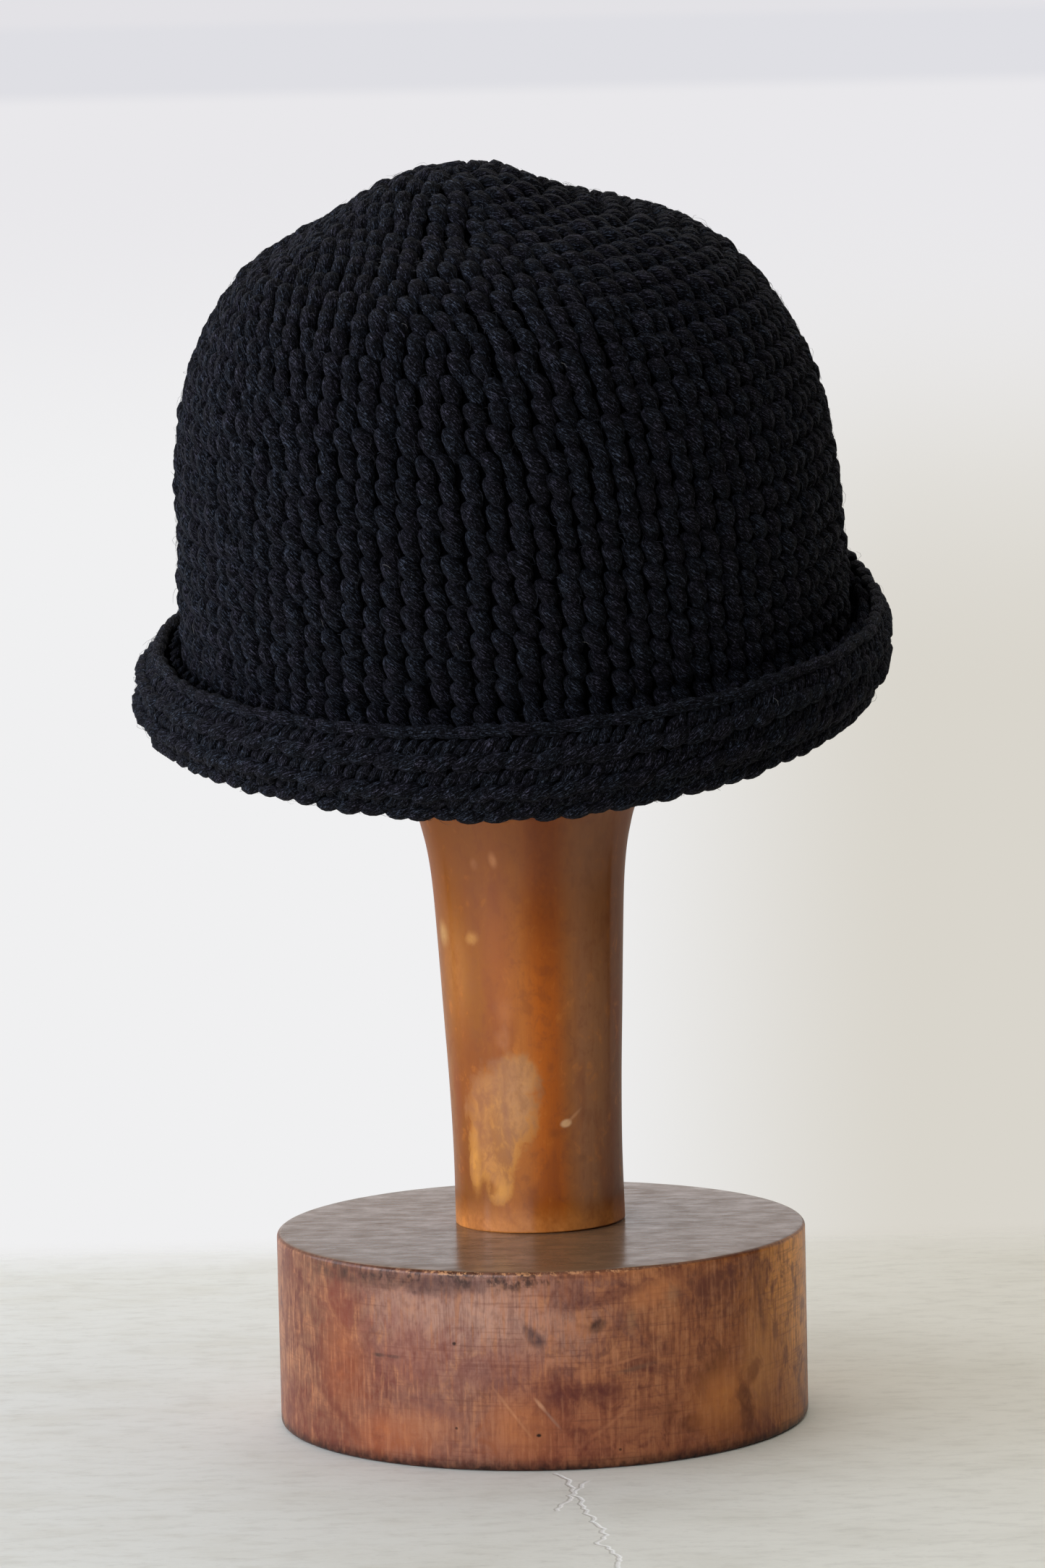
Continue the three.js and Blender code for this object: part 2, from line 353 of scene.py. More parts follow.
wall_glow_with_painted_shade = wall_finish()
sheet_mesh("wall", upright_sheets((-WALL_SIZE, WALL_AWAY), (WALL_SIZE, WALL_AWAY)), wall_glow_with_painted_shade)
room = sheet_mesh("room", upright_sheets(
    (-WALL_AWAY, WALL_AWAY), (-WALL_AWAY, -WALL_AWAY),
    (WALL_AWAY, -WALL_AWAY), (WALL_AWAY, WALL_AWAY),
), wall_glow_with_painted_shade)
room.visible_diffuse = False
room.visible_glossy = False
room.visible_shadow = False
print("walls", WALL_AWAY, "m away")

# %% Light
WORLD_STRENGTH = 0.02
LIT_POINT = (0, 0, 0.2)
LAMPS = [  # name, place, width, height, watts, tone
    ("window", (-1.70, 0.15, 0.65), 1.5, 1.2, 19, (228, 236, 255)),
    ("window_bounce", (-1.51, -1.46, 0.75), 3.2, 1.5, 58, (238, 243, 255)),
    ("sky_right", (0.90, -0.10, 2.00), 1.8, 1.8, 12, (255, 250, 240)),
    ("sky_back", (-0.30, 1.30, 2.00), 2.4, 1.6, 17, (255, 250, 240)),
    ("far_side", (1.90, -0.55, 0.70), 1.9, 1.3, 0.3, (250, 244, 236)),
    ("floor_glow", (-1.60, -1.30, -0.45), 3.2, 1.3, 7, (255, 248, 238)),
]

world = bpy.data.worlds.new("studio_air")
world.use_nodes = True
air = world.node_tree.nodes["Background"].inputs
air["Color"].default_value = tint(242, 243, 248)
air["Strength"].default_value = WORLD_STRENGTH
bpy.context.scene.world = world
bpy.context.scene.view_settings.view_transform = "Standard"

for name, place, width, height, watts, tone in LAMPS:
    lamp = bpy.data.lights.new(name, "AREA")
    lamp.shape = "RECTANGLE"
    lamp.size, lamp.size_y = width, height
    lamp.energy = watts
    lamp.color = linear(*tone)
    shade = bpy.data.objects.new(name, lamp)
    shade.location = place
    aim = Vector(LIT_POINT) - Vector(place)
    shade.rotation_euler = aim.to_track_quat("-Z", "Y").to_euler()
    shade.visible_camera = False
    bpy.context.scene.collection.objects.link(shade)
    print(name, watts, "W")

# %% [markdown]
# ## Turned wood
#
# A turner makes round work on a lathe, and so does a mesh: a profile of radius and height is
# carried round an axis. The three pieces of the stand are turned again here with many more
# sides than in the CAD model, because old lacquer shows every facet in its shine. The profile
# rows, sizes and joints are the CAD model's own.

# %% Meshes that go round an axis
def weld(mesh):
    """Closes seams and poles and turns every face outwards."""
    shell = bmesh.new()
    shell.from_mesh(mesh)
    bmesh.ops.remove_doubles(shell, verts=shell.verts, dist=1e-7)
    bmesh.ops.recalc_face_normals(shell, faces=shell.faces)
    shell.to_mesh(mesh)
    shell.free()


def wrapped_mesh(name, rows, loop=False):
    """A mesh through rows of points that go round an axis, with a UV map named weave."""
    count, sides = rows.shape[:2]
    row, side = np.meshgrid(
        np.arange(count if loop else count - 1), np.arange(sides), indexing="ij"
    )
    below, beside = (row + 1) % count, (side + 1) % sides
    corners = np.stack([
        row * sides + side, row * sides + beside, below * sides + beside, below * sides + side,
    ], -1)
    mesh = bpy.data.meshes.new(name)
    mesh.from_pydata(rows.reshape(-1, 3).tolist(), [], corners.reshape(-1, 4).tolist())
    around = np.stack([side, side + 1, side + 1, side], -1) / sides
    up = np.stack([row, row, row + 1, row + 1], -1) / count
    chart = np.stack([around, up], -1).astype(np.float32)
    mesh.uv_layers.new(name="weave").data.foreach_set("uv", chart.ravel())
    weld(mesh)
    return mesh


def put(name, mesh, material, slot, *stands_for):
    """Places a finished mesh as a piece on the root body."""
    mesh.shade_smooth()
    mesh.materials.clear()
    mesh.materials.append(material)
    piece = bpy.data.objects.new(name, mesh)
    bpy.context.scene.collection.objects.link(piece)
    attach(piece, "root")
    if stands_for:
        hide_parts(*stands_for)
    mesh.calc_loop_triangles()
    print(name, len(mesh.loop_triangles), "triangles")


def smooth_step(low, high, value):
    share = np.clip((value - low) / (high - low), 0, 1)
    return share * share * (3 - 2 * share)


# %% Smooth curves through tables
def catmull_rom(before, start, end, after, f):
    slope = (end - before) * f
    square = (2 * before - 5 * start + 4 * end - after) * f * f
    cube = (3 * start - before - 3 * end + after) * f * f * f
    return start + 0.5 * (slope + square + cube)


def along(table_rows, t):
    """Smooth curve through a table's rows; t is 0 at the first row and 1 at the last."""
    rows = np.array(table_rows, float)
    last = len(rows) - 1
    place = np.clip(t, 0, 1) * last
    row = np.minimum(place.astype(int), last - 1)
    ends = np.vstack([2 * rows[0] - rows[1], rows, 2 * rows[-1] - rows[-2]])
    f = (place - row)[..., None]
    return catmull_rom(ends[row], ends[row + 1], ends[row + 2], ends[row + 3], f)


def around_turn(table_rows, turn):
    """The same round a closed table whose rows stand at equal turns from the front."""
    rows = np.array(table_rows, float)
    place = (turn / (2 * np.pi)) % 1 * len(rows)
    row = place.astype(int)
    near = [rows[(row + step) % len(rows)] for step in (-1, 0, 1, 2)]
    return catmull_rom(*near, (place - row)[..., None])


print("curve helpers ready")

# %% Stand sizes
BASE_RADIUS = 75
BASE_HEIGHT = 54.3
BASE_ROUNDING = 1.4
TENON_RADIUS = 15
TENON_LENGTH = 20
SOCKET_RADIUS = 15.6
SOCKET_DEPTH = 21
COLUMN_BACK = 8
COLUMN_LEAN = 0.8
SHOULDER_GAP = 0.6
FOOT_DROP = 0.4
GAP = 0.3
DOME_RADIUS = 56
DOME_WAIST = 30
DOME_RISE = 117.3

COLUMN_PROFILE = [  # height above the base, radius
    (0, 24.2), (20, 24.1), (40, 24.6), (60, 25.5), (80, 26.4), (95, 27.2),
    (104, 28.1), (111, 29.4), (118, 31.5), (126, 36.0), (134, 42.0), (141, 47.5),
]

# %% Turning
def turned_rows(profile, sides):
    """Rows of points for a profile of radius and height in millimetres."""
    profile = np.array(profile, float)
    turn = np.arange(sides) / sides * 2 * np.pi
    radius, height = profile[:, :1], profile[:, 1:]
    return np.stack([
        radius * np.sin(turn), -radius * np.cos(turn), height + 0 * turn,
    ], -1)


def rounded(radius, height, rounding, start, stop, steps=6):
    """Points of a rounded rim about its corner, between two angles in degrees."""
    angles = np.radians(np.linspace(start, stop, steps + 1))
    return [
        (radius + rounding * math.cos(a), height + rounding * math.sin(a)) for a in angles
    ]


def even(start, stop, count):
    """Points in between two points of a profile, both left out."""
    return [tuple(p) for p in np.linspace(start, stop, count + 2)[1:-1]]


UPRIGHT = (
    Matrix.Translation((0, COLUMN_BACK, BASE_HEIGHT + SHOULDER_GAP))
    @ Matrix.Rotation(math.radians(-COLUMN_LEAN), 4, "Y")
)


def placed(points, matrix):
    """Points in millimetres moved by a matrix, then in metres."""
    turned = points @ np.array(matrix.to_3x3()).T + np.array(matrix.translation)
    return turned * MM


print("upright stands at", tuple(UPRIGHT.translation), "mm")

# %% [markdown]
# ## Wood finish
#
# The stand is old beech under worn shellac. Three layers make its look: a brown body
# colour with fine grain, clouds where the lacquer is thicker or rubbed thin, and single marks
# such as dents and stains. Each mark is one row of a table: an ellipse with a ragged edge,
# placed in millimetres round the piece from its front and up. A clear coat gives the shine.
# Painted sheen and painted shade are laid over the colour in a few places.

# %% Marks on round work
SMOOTH_EDGE = 0.25


def worn_through(patches, speck):
    """How strongly wear shows, from a half up to a little over one, in patches and specks."""
    return 0.5 + patches.fade(0.35, 0.65) * 0.4 + speck.fade(0.3, 0.7) * 0.3


def distance(along_it, across_it):
    return (along_it * along_it + across_it * across_it) ** 0.5


def round_place(place, radius, middle=(0.0, 0.0), lean=0.0, foot=0.0):
    """Millimetres round a turned piece from its front, and millimetres up."""
    x, y, z = place.parts()
    sideways = x - middle[0] + (z - foot) * lean
    return x.maths("ARCTAN2", sideways, middle[1] - y) * radius, z / MM


def mark(across, up, rag, middle, size, slant, ragged, soft):
    """1 inside one mark and 0 outside, with an edge as ragged and as soft as it says."""
    run, side = math.cos(math.radians(slant)), math.sin(math.radians(slant))
    away, above = across - middle[0], up - middle[1]
    along_it = away * (run / size[0]) + above * (side / size[0])
    across_it = above * (run / size[1]) - away * (side / size[1])
    reach = distance(along_it, across_it) + rag * ragged
    return 1 - reach.fade(1 - soft, 1 + soft)


def marked(tone, across, up, rag, wear, marks):
    """A colour with every mark of a table laid over it; wear breaks the ragged ones up."""
    for at, height, long, thin, slant, ragged, soft, strength, colour in marks:
        spot = mark(across, up, rag, (at, height), (long, thin), slant, ragged, soft)
        share = spot * strength * wear if ragged > SMOOTH_EDGE else spot * strength
        tone = blend(share, tone, colour)
    return tone


def blot(across, up, rag, ellipses, ragged, soft):
    """One ragged shape that several ellipses make together."""
    reach = None
    for at, height, long, thin in ellipses:
        own = distance((across - at) / long, (up - height) / thin)
        reach = own if reach is None else reach.least(own)
    return 1 - (reach + rag * ragged).fade(1 - soft, 1 + soft)


print("ready to lay marks")

# %% Base wood
BASE_MARKS = [  # across, up, half length, half width, slant, ragged, soft, strength, tone
    (-62, 26, 9, 14, 0, 0.8, 0.7, 0.45, (160, 88, 50)),
    (-64, 43, 9, 6, 0, 1.4, 0.6, 0.65, (122, 60, 44)),
    (6, 47, 6, 3.5, 0, 1.4, 0.6, 0.6, (92, 44, 38)),
    (-37, 31, 10, 8, 0, 1.6, 0.6, 0.55, (118, 58, 48)),
    (-15, 29, 13, 6, 0, 1.6, 0.6, 0.55, (112, 54, 46)),
    (-47, 8, 10, 6, 10, 0.8, 0.7, 0.45, (180, 102, 56)),
    (-33, 12, 8, 6, 15, 1.2, 0.6, 0.4, (190, 122, 80)),
    (-8, 12, 8, 7, 0, 1.2, 0.6, 0.5, (196, 120, 70)),
    (-30, 17, 7, 3, -10, 1.6, 0.6, 0.5, (100, 62, 62)),
    (-64.5, 12.3, 13, 1.5, -36, 0.5, 0.6, 0.6, (104, 52, 38)),
    (-50, 50.6, 20, 1.8, 0, 1.6, 0.6, 0.7, (74, 48, 38)),
    (-26, 50.2, 9, 2.2, 0, 1.8, 0.6, 0.75, (80, 54, 52)),
    (19, 47, 8, 2, 12, 1.4, 0.6, 0.7, (92, 44, 38)),
    (32, 47, 9, 3, 18, 1.4, 0.6, 0.5, (198, 122, 72)),
    (36.5, 46, 2.2, 2, 0, 1.6, 0.8, 0.35, (146, 118, 92)),
    (24, 40, 1.2, 2.8, 0, 1.4, 0.8, 0.35, (136, 108, 80)),
    (14.5, 39.1, 2.6, 1.5, 20, 0.8, 0.6, 0.85, (54, 34, 26)),
    (-2.5, 36.4, 3.4, 1.9, -50, 1.0, 0.5, 0.8, (70, 52, 54)),
    (13, 21.1, 8, 3, -4, 1.3, 0.5, 0.75, (84, 36, 34)),
    (2, 23, 6, 5, 0, 1.6, 0.6, 0.5, (96, 42, 34)),
    (25, 26.8, 5.5, 0.6, 10, 1.0, 0.8, 0.5, (112, 84, 66)),
    (22, 29, 6, 0.4, 12, 0.4, 0.6, 0.45, (190, 122, 84)),
    (49, 24, 6, 3, 22, 1.4, 0.6, 0.65, (96, 46, 24)),
    (41, 10, 4, 2.6, 0, 1.2, 0.6, 0.7, (92, 42, 24)),
    (34.6, 13.3, 2.2, 4, 0, 1.2, 0.6, 0.55, (100, 48, 28)),
    (54, 15, 11, 9, 0, 0.8, 0.7, 0.6, (206, 128, 62)),
    (68, 22, 7, 12, 0, 0.8, 0.7, 0.55, (206, 138, 76)),
    (62, 11.5, 3, 8, 12, 1.4, 0.5, 0.8, (92, 42, 20)),
    (65, 20, 5, 2.4, 40, 1.2, 0.5, 0.6, (104, 50, 24)),
    (69.5, 40, 1.4, 13, 4, 0.6, 0.6, 0.45, (98, 52, 32)),
    (-1.4, 18.2, 1.8, 0.4, -51, 0.8, 0.8, 0.7, (222, 164, 122)),
    (1.8, 14.2, 2.8, 0.35, -51, 0.8, 0.8, 0.4, (168, 136, 116)),
    (-9.1, 16.3, 6.5, 0.3, -53, 1.2, 0.9, 0.35, (216, 154, 108)),
    (20, 14, 8, 0.5, 35, 1.4, 0.9, 0.3, (206, 136, 94)),
    (-48.2, 29.8, 1.8, 0.5, 0, 0.6, 0.6, 0.8, (62, 48, 40)),
    (-43.2, 29.8, 2.0, 0.4, 0, 0.6, 0.6, 0.6, (62, 48, 40)),
    (-24.6, 34.6, 0.5, 0.42, 0, 0.24, 0.5, 0.9, (40, 26, 22)),
    (-24.5, 11.5, 0.4, 0.35, 0, 0.24, 0.5, 0.75, (40, 24, 18)),
    (-1.9, 9.9, 0.6, 0.42, 0, 0.24, 0.5, 0.95, (26, 14, 10)),
    (20.2, 5.0, 0.4, 0.35, 0, 0.24, 0.5, 0.75, (40, 20, 14)),
]
BASE_TONES = [  # across, tone
    (-200, (160, 102, 66)), (-105, (150, 100, 70)), (-64, (116, 80, 61)), (-42, (142, 101, 82)),
    (-20, (152, 107, 85)), (0, (170, 103, 69)), (25, (194, 127, 82)), (45, (182, 114, 68)),
    (61, (160, 96, 51)), (90, (252, 170, 80)), (120, (184, 118, 68)), (200, (160, 102, 66)),
]


def base_wood():
    material, wire = new_finish("worn_red_wood")
    place = object_place(wire)
    across, up = round_place(place, BASE_RADIUS)
    fine = cloudy(stretched(place, 1, 1, 10), 2.0)
    turned = cloudy(stretched(place, 20, 20, 0.8), 3.0, 0.6)
    speck = cloudy(stretched(place, 1.7, 1.7, 2.2), 2.0, 0.55)
    mottle = cloudy(stretched(place, 6, 6, 8), 4.0, 0.65, 0.6)
    coarse = cloudy(stretched(place, 16, 16, 18), 4.0, 0.65, 0.8)
    wide = cloudy(stretched(place, 50, 50, 40), 3.0, 0.55)
    chipping = cloudy(stretched(place, 1.6, 1.6, 1.2), 3.0, 0.7)
    brushed = cloudy(stretched(place, 9, 4, 20), 5.0, 0.7)
    rag = (mottle - 0.5) * 2.4 + (speck - 0.5) * 0.4
    wear = worn_through(mottle, speck)
    # painted sheen: a pale pinkish patch high on the left of the front, streaked by the fine grain
    painted_sheen_patch = mark(across, up, rag, (-17, 41), (28, 14), 0, 0.7, 0.8)
    streaked_painted_sheen = painted_sheen_patch * (0.35 + 0.65 * fine.fade(0.35, 0.6))
    worn = layered(
        toned_along(across, BASE_TONES),
        (wide.fade(0.4, 0.64) * 0.4, (124, 64, 44)),
        ((1 - mottle).fade(0.5, 0.66) * 0.65, (100, 50, 38)),
        (coarse.fade(0.48, 0.66) * 0.7, (92, 44, 38)),
        (mottle.fade(0.5, 0.72) * 0.5, (188, 126, 84)),
        (streaked_painted_sheen * 0.6, (206, 164, 142)),
        (fine.fade(0.48, 0.66) * 0.4, (98, 44, 32)),
        ((1 - fine).fade(0.54, 0.7) * 0.35, (206, 140, 96)),
        (turned.fade(0.52, 0.68) * 0.35, (104, 58, 44)),
        (speck.fade(0.45, 0.75) * 0.3, (86, 46, 36)),
        ((1 - speck).fade(0.5, 0.75) * 0.15, (200, 136, 96)),
        ((1 - up.fade(4, 32)) * 0.35, (116, 54, 38)),
    )
    under_rim = (up + rag * 3).fade(48.5, 52) * mottle.fade(0.4, 0.55) * across.fade(-90, -50)
    edge_stain = under_rim * (1 - across.fade(-6, 20)) * (0.4 + speck.fade(0.35, 0.6) * 0.6)
    rim = up.fade(52.9, 53.4) * (1 - up.fade(54.15, 54.3))
    chip_zone = mark(across, up, rag, (-4, 54), (34, 9), 0, 0.3, 0.4)
    chips = rim * (0.15 + 0.85 * chip_zone) * chipping.fade(0.5, 0.62)
    on_top = up.fade(BASE_HEIGHT - 0.3, BASE_HEIGHT - 0.08)
    whole = layered(
        marked(worn, across, up, rag, wear, BASE_MARKS),
        (edge_stain * 0.85, (54, 38, 34)),
        (chips * 0.7, (218, 158, 108)),
        # painted shade: a dark line on the rim's rounding just below the top edge, broken by the
        # chips
        (up.fade(53.3, 53.8) * (1 - chips) * 0.6, (84, 48, 28)),
        # painted shade: a dark band along the foot, where the drum meets the table
        ((1 - up.fade(0.2, 4.5)) * (0.3 + speck), (34, 20, 15)),
        # the top face: its brushed brown, lightened and greyed by a painted sheen
        (on_top, blend(brushed.fade(0.3, 0.75), (112, 86, 63), (134, 104, 78))),
    )
    height = fine * 0.5 + turned * 0.3 + mottle * 0.8 + coarse * 0.6 + speck * 0.3 + brushed * 0.4
    return finish_with(material, {
        "Base Color": whole, "Roughness": 0.5 - 0.12 * on_top + 0.1 * coarse,
        "Specular IOR Level": 0.0, "Coat Weight": 0.45 + on_top * (brushed * 1.6 - 0.45),
        "Coat Roughness": 0.2, "Normal": relief(height, 0.3, 0.45),
    })


# %% Column wood
MEAN_RADIUS = 25
COLUMN_MARKS = [  # across, up, half length, half width, slant, ragged, soft, strength, tone
    (-29, 112, 8, 40, 0, 0.6, 0.8, 0.25, (176, 112, 60)),
    (-9, 128, 3.5, 34, 0, 1.2, 0.8, 0.45, (148, 72, 32)),
    (-24, 128, 5, 14, 0, 1.0, 0.8, 0.45, (184, 120, 58)),
    (-28, 92, 2.2, 12, 0, 0.9, 0.7, 0.5, (128, 66, 40)),
    (3.5, 156, 4.5, 26, 0, 0.6, 0.8, 0.55, (112, 46, 10)),
    (-8.8, 160, 1.0, 2.1, 8, 0.4, 0.6, 0.6, (196, 128, 78)),
    (-14.2, 158.8, 0.9, 1.4, 0, 0.4, 0.7, 0.35, (186, 122, 78)),
    (-16.8, 137.6, 1.6, 1.4, 0, 1.2, 0.8, 0.6, (206, 146, 74)),
    (-29.4, 138.2, 2.4, 3.0, 0, 0.5, 0.7, 0.6, (190, 146, 90)),
    (-8.8, 109, 1.8, 2.4, 0, 1.4, 0.8, 0.3, (214, 144, 92)),
    (-8.0, 117, 2.2, 4, 0, 1.4, 0.8, 0.25, (206, 132, 78)),
    (8.5, 85.2, 1.6, 1.05, 12, 0.2, 0.4, 0.9, (228, 178, 126)),
    (11.2, 87.2, 2.4, 0.45, 40, 0.24, 0.7, 0.55, (206, 142, 92)),
    (5.0, 82.5, 1.4, 1.2, 0, 0.5, 0.8, 0.4, (92, 42, 16)),
    (13.6, 75, 1.4, 1.2, 0, 0.5, 0.8, 0.4, (92, 42, 16)),
]
WORN_PATCH = [  # across, up, half width, half height
    (-11, 90, 11.2, 11.5), (-14, 80, 8.4, 11), (-5.5, 98.5, 6.5, 7), (-12, 68, 4, 5.5),
    (-20.5, 73, 2.6, 6),
]
PALE_PART = [(-5, 93, 7, 12)]
ISLAND = [(-16, 66.6, 3.4, 2.4)]
BRIGHT_TIP = [(-11.6, 66, 2.4, 3.0), (-20.5, 74, 1.6, 7)]
COLUMN_TONES = [  # across, tone
    (-36, (132, 90, 60)), (-26, (126, 71, 22)), (-16, (144, 81, 20)), (-8, (168, 94, 24)),
    (-3, (178, 99, 26)), (1.5, (184, 92, 8)), (6, (172, 84, 6)), (10, (162, 92, 30)),
    (14, (160, 100, 54)), (20, (156, 98, 52)), (27, (134, 80, 44)), (36, (128, 82, 52)),
]


def column_wood():
    material, wire = new_finish("honey_lacquered_wood")
    place = object_place(wire)
    lean = math.tan(math.radians(COLUMN_LEAN))
    foot = (BASE_HEIGHT + SHOULDER_GAP) * MM
    across, up = round_place(place, MEAN_RADIUS, (0.0, COLUMN_BACK * MM), lean, foot)
    fine = cloudy(stretched(place, 0.7, 0.7, 30), 3.0, 0.6)
    cloud = cloudy(stretched(place, 10, 10, 40), 3.0, 0.6, 0.5)
    ragged = cloudy(stretched(place, 4, 4, 6), 4.0, 0.65, 0.4)
    speck = cloudy(stretched(place, 1.3, 1.3, 1.6), 3.0, 0.65)
    rag = (ragged - 0.5) * 2.2 + (speck - 0.5) * 0.5
    wear = worn_through(ragged, speck)
    lacquer_and_painted_shade = layered(
        toned_along(across, COLUMN_TONES),
        (cloud.fade(0.45, 0.66) * 0.5, (132, 62, 18)),
        (fine.fade(0.5, 0.72) * 0.2, (130, 62, 22)),
        (ragged.fade(0.56, 0.72) * 0.4, (204, 120, 42)),
        (speck.fade(0.56, 0.72) * 0.3, (140, 70, 32)),
        ((1 - ragged).fade(0.5, 0.66) * 0.35, (118, 56, 22)),
        # painted shade under the hat: darker towards the flared top
        (up.fade(118, 164) * 0.6, (130, 70, 24)),
    )
    worn = layered(
        blend(ragged.fade(0.38, 0.64), (166, 106, 52), (204, 138, 66)),
        (blot(across, up, rag, PALE_PART, 0.8, 0.8) * wear * 0.55, (190, 143, 104)),
        (cloud.fade(0.42, 0.62) * 0.4, (150, 100, 76)),
    )
    patch = blot(across, up, rag, WORN_PATCH, 0.5, 0.26)
    island = blot(across, up, rag, ISLAND, 0.8, 0.5)
    edge = patch * (1 - patch) * 4 * (1 - up.fade(78, 94)) * wear
    tip = blot(across, up, rag, BRIGHT_TIP, 1.2, 0.8) * wear
    whole = layered(
        marked(lacquer_and_painted_shade, across, up, rag, wear, COLUMN_MARKS),
        (patch * (1 - island) * 0.85, worn),
        (tip.most(edge * 0.6) * 0.55, (224, 156, 66)),
        ((1 - up.fade(54.5, 64)) * wear * 0.7, (216, 138, 70)),
    )
    gap = across.fade(-2, 3) * (1 - across.fade(6, 11))
    return finish_with(material, {
        "Base Color": whole, "Roughness": 0.42 + cloud * 0.1, "Specular IOR Level": 0.0,
        "Coat Weight": 0.85 - 0.6 * abs(across - 2).fade(12, 30) - 0.3 * gap,
        "Coat Roughness": 0.18, "Normal": relief(fine * 0.3 + ragged + speck * 0.3, 0.14, 0.4),
    })


print("the wood finishes lay", len(BASE_MARKS) + len(COLUMN_MARKS), "marks")

# %% Base
BASE_SIDES = 384
FOOT_STEPS, SIDE_STEPS, TOP_STEPS = 6, 22, 10
DRILL_SIDES = 64


def turn_base():
    """The drum with its two rounded rims, before its socket is bored."""
    edge, top = BASE_ROUNDING, BASE_HEIGHT - BASE_ROUNDING
    rim = BASE_RADIUS - edge
    profile = [
        (0, 0), *even((0, 0), (rim, 0), FOOT_STEPS), *rounded(rim, edge, edge, -90, 0),
        *even((BASE_RADIUS, edge), (BASE_RADIUS, top), SIDE_STEPS),
        *rounded(rim, top, edge, 0, 90),
        *even((rim, BASE_HEIGHT), (0, BASE_HEIGHT), TOP_STEPS), (0, BASE_HEIGHT),
    ]
    return wrapped_mesh("base_drum", turned_rows(profile, BASE_SIDES) * MM)


def bored(mesh, radius, depth, place):
    """The mesh with a blind round socket cut down into it from a place on its top."""
    profile = [(0, -depth), (radius, -depth), (radius, depth), (0, depth)]
    drill = turned_rows(profile, DRILL_SIDES)
    work = bpy.data.objects.new("work", mesh)
    tool = bpy.data.objects.new("drill", wrapped_mesh("drill", (drill + np.array(place)) * MM))
    for thing in (work, tool):
        bpy.context.scene.collection.objects.link(thing)
    cut = work.modifiers.new("bore", "BOOLEAN")
    cut.object = tool
    cut.solver = "EXACT"
    graph = bpy.context.evaluated_depsgraph_get()
    result = bpy.data.meshes.new_from_object(work.evaluated_get(graph))
    bpy.data.objects.remove(work)
    bpy.data.objects.remove(tool)
    return result


base_mesh = bored(turn_base(), SOCKET_RADIUS, SOCKET_DEPTH, (0, COLUMN_BACK, BASE_HEIGHT))
put("base_drum", base_mesh, base_wood(), "base_wood", "stand_base")

# %% Column
COLUMN_SIDES = 160
COLUMN_ROWS = 90

column_top, top_radius = COLUMN_PROFILE[-1]
column_points = [
    (0, -TENON_LENGTH), (TENON_RADIUS, -TENON_LENGTH), (TENON_RADIUS, -FOOT_DROP),
    (COLUMN_PROFILE[0][1], -FOOT_DROP),
    *[(r, h) for h, r in along(COLUMN_PROFILE, np.linspace(0, 1, COLUMN_ROWS))],
    (TENON_RADIUS, column_top), (TENON_RADIUS, column_top + TENON_LENGTH),
    (0, column_top + TENON_LENGTH),
]
column_rows = turned_rows(column_points, COLUMN_SIDES)
column_mesh = wrapped_mesh("column_turning", placed(column_rows, UPRIGHT))
honey_wood = column_wood()
put("column_turning", column_mesh, honey_wood, "column_wood", "stand_column")

# %% Dome
DOME_SIDES = 128
FOOT_ROWS = 3
DOME_ROWS = 40

dome_points = [
    (0, SOCKET_DEPTH), (SOCKET_RADIUS, SOCKET_DEPTH), (SOCKET_RADIUS, 0),
    *[
        (top_radius + (DOME_RADIUS - top_radius) * math.sin(lift * math.pi / 2),
         DOME_WAIST * lift)
        for lift in np.arange(FOOT_ROWS) / FOOT_ROWS
    ],
    *[
        (DOME_RADIUS * max(math.cos(a), 0), DOME_WAIST + DOME_RISE * math.sin(a))
        for a in np.linspace(0, np.pi / 2, DOME_ROWS)
    ],
]
dome_rows = turned_rows(dome_points, DOME_SIDES) + np.array([0, 0, column_top + GAP])
dome_mesh = wrapped_mesh("dome_turning", placed(dome_rows, UPRIGHT))
put("dome_turning", dome_mesh, honey_wood, "dome_wood", "stand_dome")

# %% [markdown]
# ## The hat's surfaces
#
# The crown and the brim are worked out from the same tables as the CAD model: level sections
# of the crown, the path of the fabric through the rolled brim, and how that roll sways round
# the hat. Only the lip leans a little further in at the two sides, so that the roll hugs the
# crown. Every stitch is then laid on those surfaces, so that it sits where the wool is.

# %% Hat sizes
KNIT_WALL = 5.5
HAT_PLACE = (-4, 8, 210.6)
HAT_TILT = 13
HAT_ROLL = 2.2
WEDGES = 8
STITCHES_ROUND = 96
WEDGE_DEPTH = 0.03
WEDGE_END = 0.7

CROWN_SECTIONS = [  # height, then reach to the left, right, front and back
    (145.5, 8.5, -8.5, 0, 0), (144, 20.5, 6.5, 14, 12), (140.5, 32, 15, 25, 22),
    (133.5, 43, 34, 39, 37), (127, 55.5, 54, 56, 54), (118, 70.5, 68, 71, 69),
    (106, 79.5, 78.5, 81, 80), (91, 86, 86, 88, 87), (73, 90, 91.5, 92, 92),
    (50, 91.8, 94.2, 94, 94), (26, 93, 95.3, 95, 95), (3, 93, 95.3, 95, 95),
]
BRIM_PATH = [  # out and up from the hem
    (0, 0), (0, -4), (2, -8.5), (6, -11), (10.5, -9.8),
    (13.8, -5), (14.6, 1), (13.6, 7), (10.8, 11.5),
]
BRIM_SWAY = [  # bulge, fold, lip and flare at every eighth of a turn
    (0, -0.4, 0, 0), (-1.5, 1.7, 1.8, 1), (-3.5, 4, 1.5, 1), (-0.5, 3, 9.5, 1.5),
    (0, 0.5, 6, 0), (0.5, 0, 0, 0), (1.8, 1, 0.5, -1), (0, 2.3, 0.5, 0),
]
LIP_HUG = 2.6  # how far the roll's lip leans towards the crown at the two sides
HAT_SEAT = (
    Matrix.Translation(HAT_PLACE)
    @ Matrix.Rotation(math.radians(-HAT_ROLL), 4, "Y")
    @ Matrix.Rotation(math.radians(HAT_TILT), 4, "X")
)

# %% Crown surface
NUDGE = 0.002


